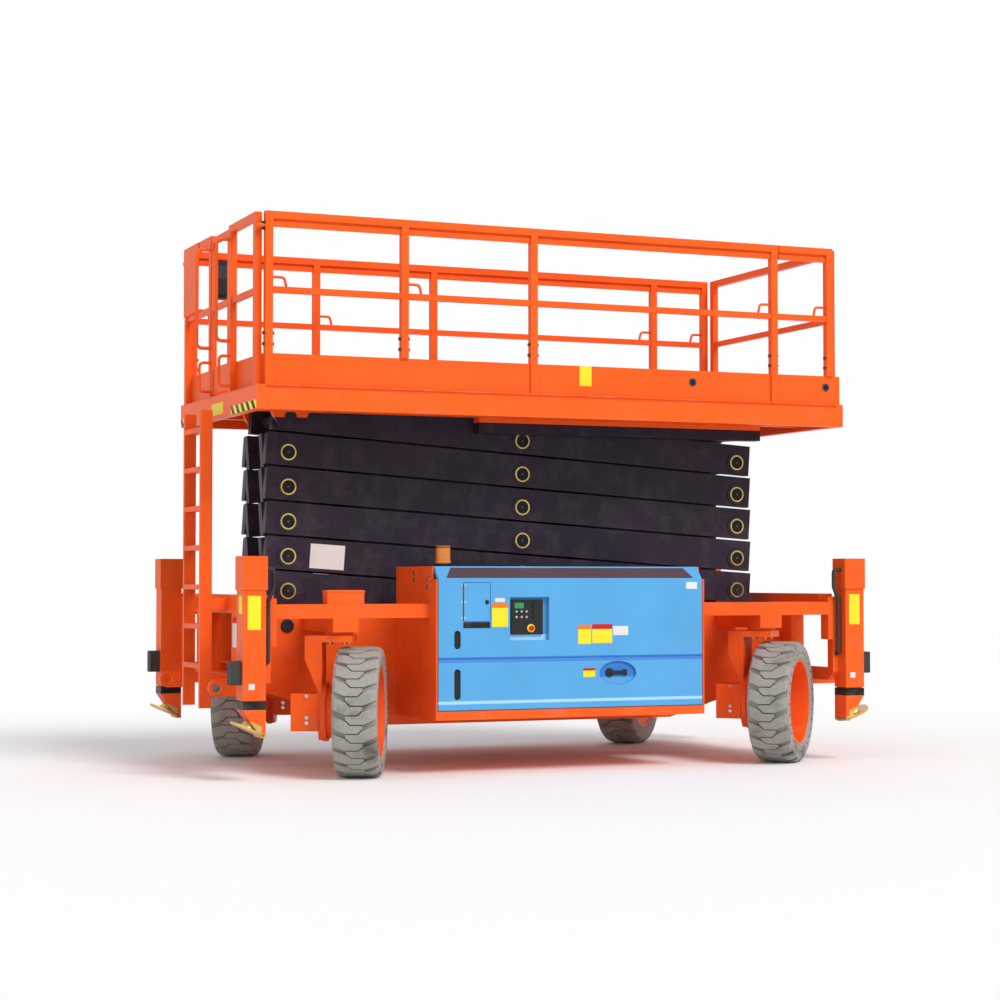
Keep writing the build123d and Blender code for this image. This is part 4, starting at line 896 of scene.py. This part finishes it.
def blank_plates():
    """Bare plates as (name, finish, body, low corner, high corner)."""
    y, t = HOOD_FACE, PLATE_SKIN
    hood = [
        ("HoodPlateA", "label_yellow", (-0.588, 0.962), (-0.474, 1.088)),
        ("HoodPlateATop", "label_orange", (-0.588, 1.089), (-0.474, 1.119)),
        ("HoodPlateB", "label_white", (-0.567, 1.125), (-0.496, 1.151)),
        ("HoodPlateC", "label_yellow", (0.032, 0.843), (0.127, 0.942)),
        ("HoodPlateCTop", "label_orange", (0.032, 0.943), (0.127, 0.970)),
        ("HoodPlateD", "label_yellow", (0.135, 0.848), (0.283, 0.942)),
        ("HoodPlateDTop", "label_red", (0.135, 0.943), (0.283, 0.975)),
        ("HoodPlateE", "label_white", (0.290, 0.900), (0.402, 0.961)),
        ("HoodPlateF", "label_yellow", (0.069, 0.623), (0.157, 0.666)),
        ("HoodPlateFTop", "label_red", (0.069, 0.667), (0.157, 0.683)),
        ("HoodPlateG", "label_white", (0.841, 1.208), (0.925, 1.255)),
        ("HoodPlateH", "black", (-0.790, 0.956), (-0.600, 0.995)),
    ]
    plates = [(n, m, "near_hood", (a[0], y - t, a[1]), (b[0], y, b[1])) for n, m, a, b in hood]
    near = -SLEEVE_Y - SLEEVE_HALF
    for name, x in (("Rear", -SLEEVE_X), ("Front", SLEEVE_X)):
        plates.append((f"{name}SleevePlate", "label_yellow", "chassis",
                       (x - 0.046, near - t, 0.957), (x + 0.040, near, 1.170)))
        plates.append((f"{name}SleeveDot", "label_white", "chassis",
                       (x - 0.038, near - t, 0.582), (x + 0.002, near, 0.619)))
    side, web, end, toe = -SLEEVE_X - SLEEVE_HALF, FRAME_WEB_X, DECK_END_X, -TOE_FACE
    return plates + [
        ("RearSleeveSide", "label_yellow", "chassis", (side - t, -1.105, 1.057), (side, -1.035, 1.170)),
        ("FrameWebPlate", "label_white", "chassis", (web - t, -0.520, 0.826), (web, -0.360, 0.985)),
        ("FrameWebTop", "label_red", "chassis", (web - t, -0.520, 0.986), (web, -0.360, 1.025)),
        ("ToePlate", "label_yellow", "platform", (0.140, toe - t, 2.585), (0.230, toe, 2.720)),
        ("DeckEndPlate", "label_yellow", "platform", (end - t, -0.170, 2.385), (end, 0.120, 2.465)),
        ("NearHazard", "hazard", "platform", (end - t, -0.955, 2.364), (end, -0.356, 2.420)),
        ("FarHazard", "hazard", "platform", (end - t, 0.860, 2.364), (end, 0.955, 2.420)),
    ]


class LIFT_OT_blank_plates(bpy.types.Operator):
    """Add the bare label plates and the hazard bars"""
    bl_idname = "lift.blank_plates"
    bl_label = "Blank plates"

    def execute(self, context):
        f = finishes()
        for name, finish, body, low, high in blank_plates():
            maker = Maker()
            maker.box(low, high, 0.0005)
            slot = "black_steel" if finish in ("black", "hazard") else "amber"
            maker.finish(name, getattr(f, finish), body, slot)
        return {"FINISHED"}


def loop_points(post, way, y, z):
    """Path of a lanyard loop that stands on the middle rail beside a post."""
    x, reach, height = post + way * 0.022, way * 0.098, 0.062
    return [(x, y, z + height), (x + reach * 0.6, y, z + height), (x + reach * 0.85, y, z + height * 0.95),
            (x + reach * 0.95, y, z + height * 0.4), (x + reach, y, z - 0.004)]


class LIFT_OT_rail_fittings(bpy.types.Operator):
    """Add the lanyard loops, post pins, corner links with knobs and toe-board grommets with painted shade
    in their holes
    """
    bl_idname = "lift.rail_fittings"
    bl_label = "Rail fittings"

    def execute(self, context):
        f = finishes()
        for side, name in ((-1, "Near"), (1, "Far")):
            curve = bpy.data.curves.new(f"{name}Loops", "CURVE")
            curve.dimensions = "3D"
            curve.bevel_depth = 0.009
            curve.bevel_resolution = 3
            for post, way in LOOP_SPOTS:
                points = loop_points(post, way, side * RAIL_Y, MIDDLE_RAIL_Z)
                line = curve.splines.new("NURBS")
                line.points.add(len(points) - 1)
                for point, at in zip(line.points, points):
                    point.co = (*at, 1.0)
                line.order_u = 3
                line.use_endpoint_u = True
            self.keep(curve, f"{name}LanyardLoops", f.orange, "platform", "orange_paint")
        pins = [((x + way * 0.026, side * RAIL_Y, z), (way, 0, 0)) for x in RAIL_POSTS for way in (-1, 1)
                for side in (-1, 1) for z in POST_PINS_Z]
        studs("PostPins", pins, "platform", "dark_cast", f.iron, radius=0.011, depth=0.024)
        links = Maker()
        for side in (-1, 1):
            links.lathe((-2.125, side * RAIL_Y, CORNER_LINK_Z), (1, 0, 0),
                        [(0, 0), (0, 0.016), (0.075, 0.016), (0.075, 0)], 16)
        links.finish("CornerLinks", f.orange, "platform", "orange_paint")
        knobs = [((-2.083, side * RAIL_Y, CORNER_LINK_Z + up * 0.014), (0, 0, up))
                 for side in (-1, 1) for up in (-1, 1)]
        studs("CornerKnobs", knobs, "platform", "black_plastic", f.plastic, radius=0.015, depth=0.026)
        holes = [((x, -TOE_FACE - 0.0005, TOE_HOLES_Z), (0, -1, 0)) for x in TOE_HOLES_X]
        rings("ToeHoleRims", holes, "platform", "dark_cast", f.iron, radius=0.024, width=0.010, depth=0.004)
        # Black discs inside the rims are painted shade for the holes
        studs("ToeHoleShades", holes, "platform", "black_steel", f.black, radius=0.020, depth=0.003, sides=24)
        return {"FINISHED"}

    def keep(self, curve, name, material, body, slot):
        """Turns a curve into a mesh that rides on a body."""
        carrier = bpy.data.objects.new(name + "Line", curve)
        bpy.context.scene.collection.objects.link(carrier)
        bpy.context.view_layer.update()
        mesh = bpy.data.meshes.new_from_object(carrier.evaluated_get(bpy.context.evaluated_depsgraph_get()))
        bpy.data.objects.remove(carrier)
        mesh.name = name
        mesh.materials.clear()
        mesh.materials.append(material)
        mesh.shade_smooth()
        settle(name, mesh, body)


class LIFT_OT_chassis_fittings(bpy.types.Operator):
    """Add the junction box, arm plate, bulkhead bolts, beam grommets and beacon base"""
    bl_idname = "lift.chassis_fittings"
    bl_label = "Chassis fittings"

    def execute(self, context):
        f = finishes()
        maker = Maker()
        maker.box((-1.685, -1.050, 1.115), (-1.434, -0.950, 1.205), 0.006)
        maker.box((-1.690, -1.053, 1.190), (-1.429, -0.947, 1.198), 0.002)
        maker.finish("JunctionBox", f.orange, "chassis", "orange_paint")
        self.arm_plate(f)
        spots = [((side * BULKHEAD_X, y, z), (side, 0, 0)) for side in (-1, 1) for y, z in BULKHEAD_BOLTS]
        spots += [((x, -y, z), aim) for (x, y, z), aim in spots]
        studs("BulkheadBolts", spots, "chassis", "zinc", f.steel, radius=0.014, depth=0.012)
        grommet = Maker()
        for side in (-1, 1):
            grommet.lathe((-1.750, side * 0.400, 0.964), (0, side, 0),
                          [(0, 0), (0, 0.046), (0.010, 0.044), (0.012, 0.030), (0.006, 0.026), (0.006, 0)])
        grommet.finish("BeamGrommets", f.plastic, "chassis", "black_plastic")
        base = Maker()
        base.lathe((BEACON_X, BEACON_Y, BEACON_LOW), UP,
                   [(0, 0), (0, 0.052), (0.010, 0.0535), (0.020, 0.050), (0.020, 0.047)], 36)
        base.lathe((BEACON_X, BEACON_Y, BEACON_CAP), UP,
                   [(0, 0.0505), (0.006, 0.0515), (0.012, 0.046), (0.0135, 0.0)], 36)
        base.finish("BeaconBase", f.black, "chassis", "black_steel")
        return {"FINISHED"}

    def arm_plate(self, f):
        """Bare plate that lies along the second outer arm."""
        plate = Maker()
        pins = outer_pins(2)
        slope = Vector((2 * PIN_X, 0, pins[2][1] - pins[0][1])).normalized()
        up = Vector((-slope.z, 0, slope.x))
        half, rise = ARM_PLATE_HALF, ARM_PLATE_RISE
        corners = []
        for y in ARM_PLATE_FACES:
            for a, b in ((-half, -rise), (half, -rise), (half, rise), (-half, rise)):
                spot = Vector((ARM_PLATE_X, y, ARM_PLATE_Z)) + slope * a + up * b
                corners.append(plate.bm.verts.new(spot))
        for loop in ((0, 1, 2, 3), (4, 5, 6, 7), (0, 1, 5, 4), (1, 2, 6, 5), (2, 3, 7, 6), (3, 0, 4, 7)):
            plate.bm.faces.new([corners[n] for n in loop])
        plate.finish("ArmPlate", f.label_white, "outer_2", "amber")


# Finishes of the nodes and stage

class LIFT_OT_finishes(bpy.types.Operator):
    """Give every CAD node its procedural finish"""
    bl_idname = "lift.finishes"
    bl_label = "Finishes"

    def execute(self, context):
        f = finishes()
        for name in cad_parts:
            coat(name, f.orange)
        for level in ARM_LEVELS:
            coat(f"inner_arms_{level}", f.navy)
            coat(f"outer_arms_{level}", f.navy)
        for name in ("lower", "upper"):
            coat(f"{name}_cylinder_barrel", f.black)
            coat(f"{name}_cylinder_rod", f.chrome)
        for name in ("near_hood", "far_hood", "fuel_door"):
            coat(name, f.blue)
        for corner in CORNERS:
            coat(f"{corner}_tyre", f.tyre)
            coat(f"{corner}_leg", f.leg)
        coat("power_blocks", f.iron)
        coat("hoses", f.hose)
        coat("beacon", f.amber)
        coat("deck_floor", f.floor_plate)
        coat("deck_frame", f.deck)
        coat("bumpers", f.hose)
        coat("control_panel", f.plastic)
        coat("control_box", f.plastic)
        return {"FINISHED"}


class LIFT_OT_stage(bpy.types.Operator):
    """Build the floor, soft studio lights, world and camera"""
    bl_idname = "lift.stage"
    bl_label = "Stage"

    def execute(self, context):
        scene = context.scene
        scene.view_settings.view_transform = "Standard"
        maker = bmesh.new()
        bmesh.ops.create_grid(maker, x_segments=1, y_segments=1, size=60.0)
        mesh = bpy.data.meshes.new("StudioFloor")
        maker.to_mesh(mesh)
        maker.free()
        floor = bpy.data.objects.new("StudioFloor", mesh)
        scene.collection.objects.link(floor)
        mesh.materials.append(self.floor_material())
        self.world(scene)
        for name, come_from, spread, power in (
            ("KeyLight", (0.35, -1.0, 1.0), 25.0, 1.9),
            ("FillLight", (-1.0, -0.45, 0.55), 60.0, 0.25),
        ):
            lamp = bpy.data.lights.new(name, "SUN")
            lamp.angle = math.radians(spread)
            lamp.energy = power
            made = bpy.data.objects.new(name, lamp)
            made.rotation_euler = (-Vector(come_from)).to_track_quat("-Z", "Y").to_euler()
            scene.collection.objects.link(made)
        lens = bpy.data.cameras.new("PhotoCamera")
        lens.lens = PHOTO_LENS
        lens.sensor_width = 36.0
        lens.clip_end = 200.0
        camera = bpy.data.objects.new("PhotoCamera", lens)
        level = math.cos(PHOTO_PITCH)
        forward = Vector((math.sin(PHOTO_YAW) * level, math.cos(PHOTO_YAW) * level, math.sin(PHOTO_PITCH)))
        camera.location = PHOTO_PLACE
        camera.rotation_euler = forward.to_track_quat("-Z", "Y").to_euler()
        scene.collection.objects.link(camera)
        scene.camera = camera
        return {"FINISHED"}

    def floor_material(self):
        """Pale matt floor that takes the shadow."""
        material = bpy.data.materials.new("StudioFloor")
        material.use_nodes = True
        tree = material.node_tree
        shader = tree.nodes["Principled BSDF"]
        shader.inputs["Base Color"].default_value = (0.92, 0.92, 0.92, 1)
        shader.inputs["Roughness"].default_value = 0.9
        return material

    def world(self, scene):
        """Soft grey light with a white backdrop for the camera and for reflections."""
        world = bpy.data.worlds.new("StudioWorld")
        scene.world = world
        world.use_nodes = True
        tree = world.node_tree
        back = tree.nodes["Background"]
        back.inputs[0].default_value = (1, 1, 1, 1)
        back.inputs[1].default_value = 0.62
        white = tree.nodes.new("ShaderNodeBackground")
        white.inputs[0].default_value = (1, 1, 1, 1)
        white.inputs[1].default_value = 1.0
        rays = tree.nodes.new("ShaderNodeLightPath")
        bounced = maths(tree, "MAXIMUM", rays.outputs["Is Glossy Ray"], rays.outputs["Is Transmission Ray"])
        seen = maths(tree, "MAXIMUM", rays.outputs["Is Camera Ray"], bounced)
        mix = tree.nodes.new("ShaderNodeMixShader")
        tree.links.new(seen, mix.inputs[0])
        tree.links.new(back.outputs[0], mix.inputs[1])
        tree.links.new(white.outputs[0], mix.inputs[2])
        tree.links.new(mix.outputs[0], tree.nodes["World Output"].inputs[0])


# Panel and registration

class LIFT_PT_panel(bpy.types.Panel):
    """Lists the steps of the dressing"""
    bl_label = "Scissor Lift"
    bl_idname = "LIFT_PT_panel"
    bl_space_type = "VIEW_3D"
    bl_region_type = "UI"
    bl_category = "Scissor Lift"

    def draw(self, context):
        column = self.layout.column()
        for step in STEPS:
            column.operator(f"lift.{step}")
        for settings in (context.scene.lift_colours, context.scene.lift_sizes):
            for name in settings.__annotations__:
                column.prop(settings, name)


STEPS = ("finishes", "pin_rings", "wheel_bolts", "hood_fittings", "ground_controls", "blank_plates",
         "rail_fittings", "chassis_fittings", "stage")
CLASSES = (LiftColours, LiftSizes, LIFT_OT_finishes, LIFT_OT_pin_rings, LIFT_OT_wheel_bolts,
           LIFT_OT_hood_fittings, LIFT_OT_ground_controls, LIFT_OT_blank_plates, LIFT_OT_rail_fittings,
           LIFT_OT_chassis_fittings, LIFT_OT_stage, LIFT_PT_panel)


def register():
    """Registers the classes and the scene settings."""
    for cls in CLASSES:
        bpy.utils.register_class(cls)
    bpy.types.Scene.lift_colours = PointerProperty(type=LiftColours)
    bpy.types.Scene.lift_sizes = PointerProperty(type=LiftSizes)


def unregister():
    """Removes the scene settings and the classes."""
    del bpy.types.Scene.lift_sizes
    del bpy.types.Scene.lift_colours
    for cls in reversed(CLASSES):
        bpy.utils.unregister_class(cls)


def main():
    """Runs every step in order."""
    register()
    for step in STEPS:
        getattr(bpy.ops.lift, step)()


if __name__ == "__main__":
    main()
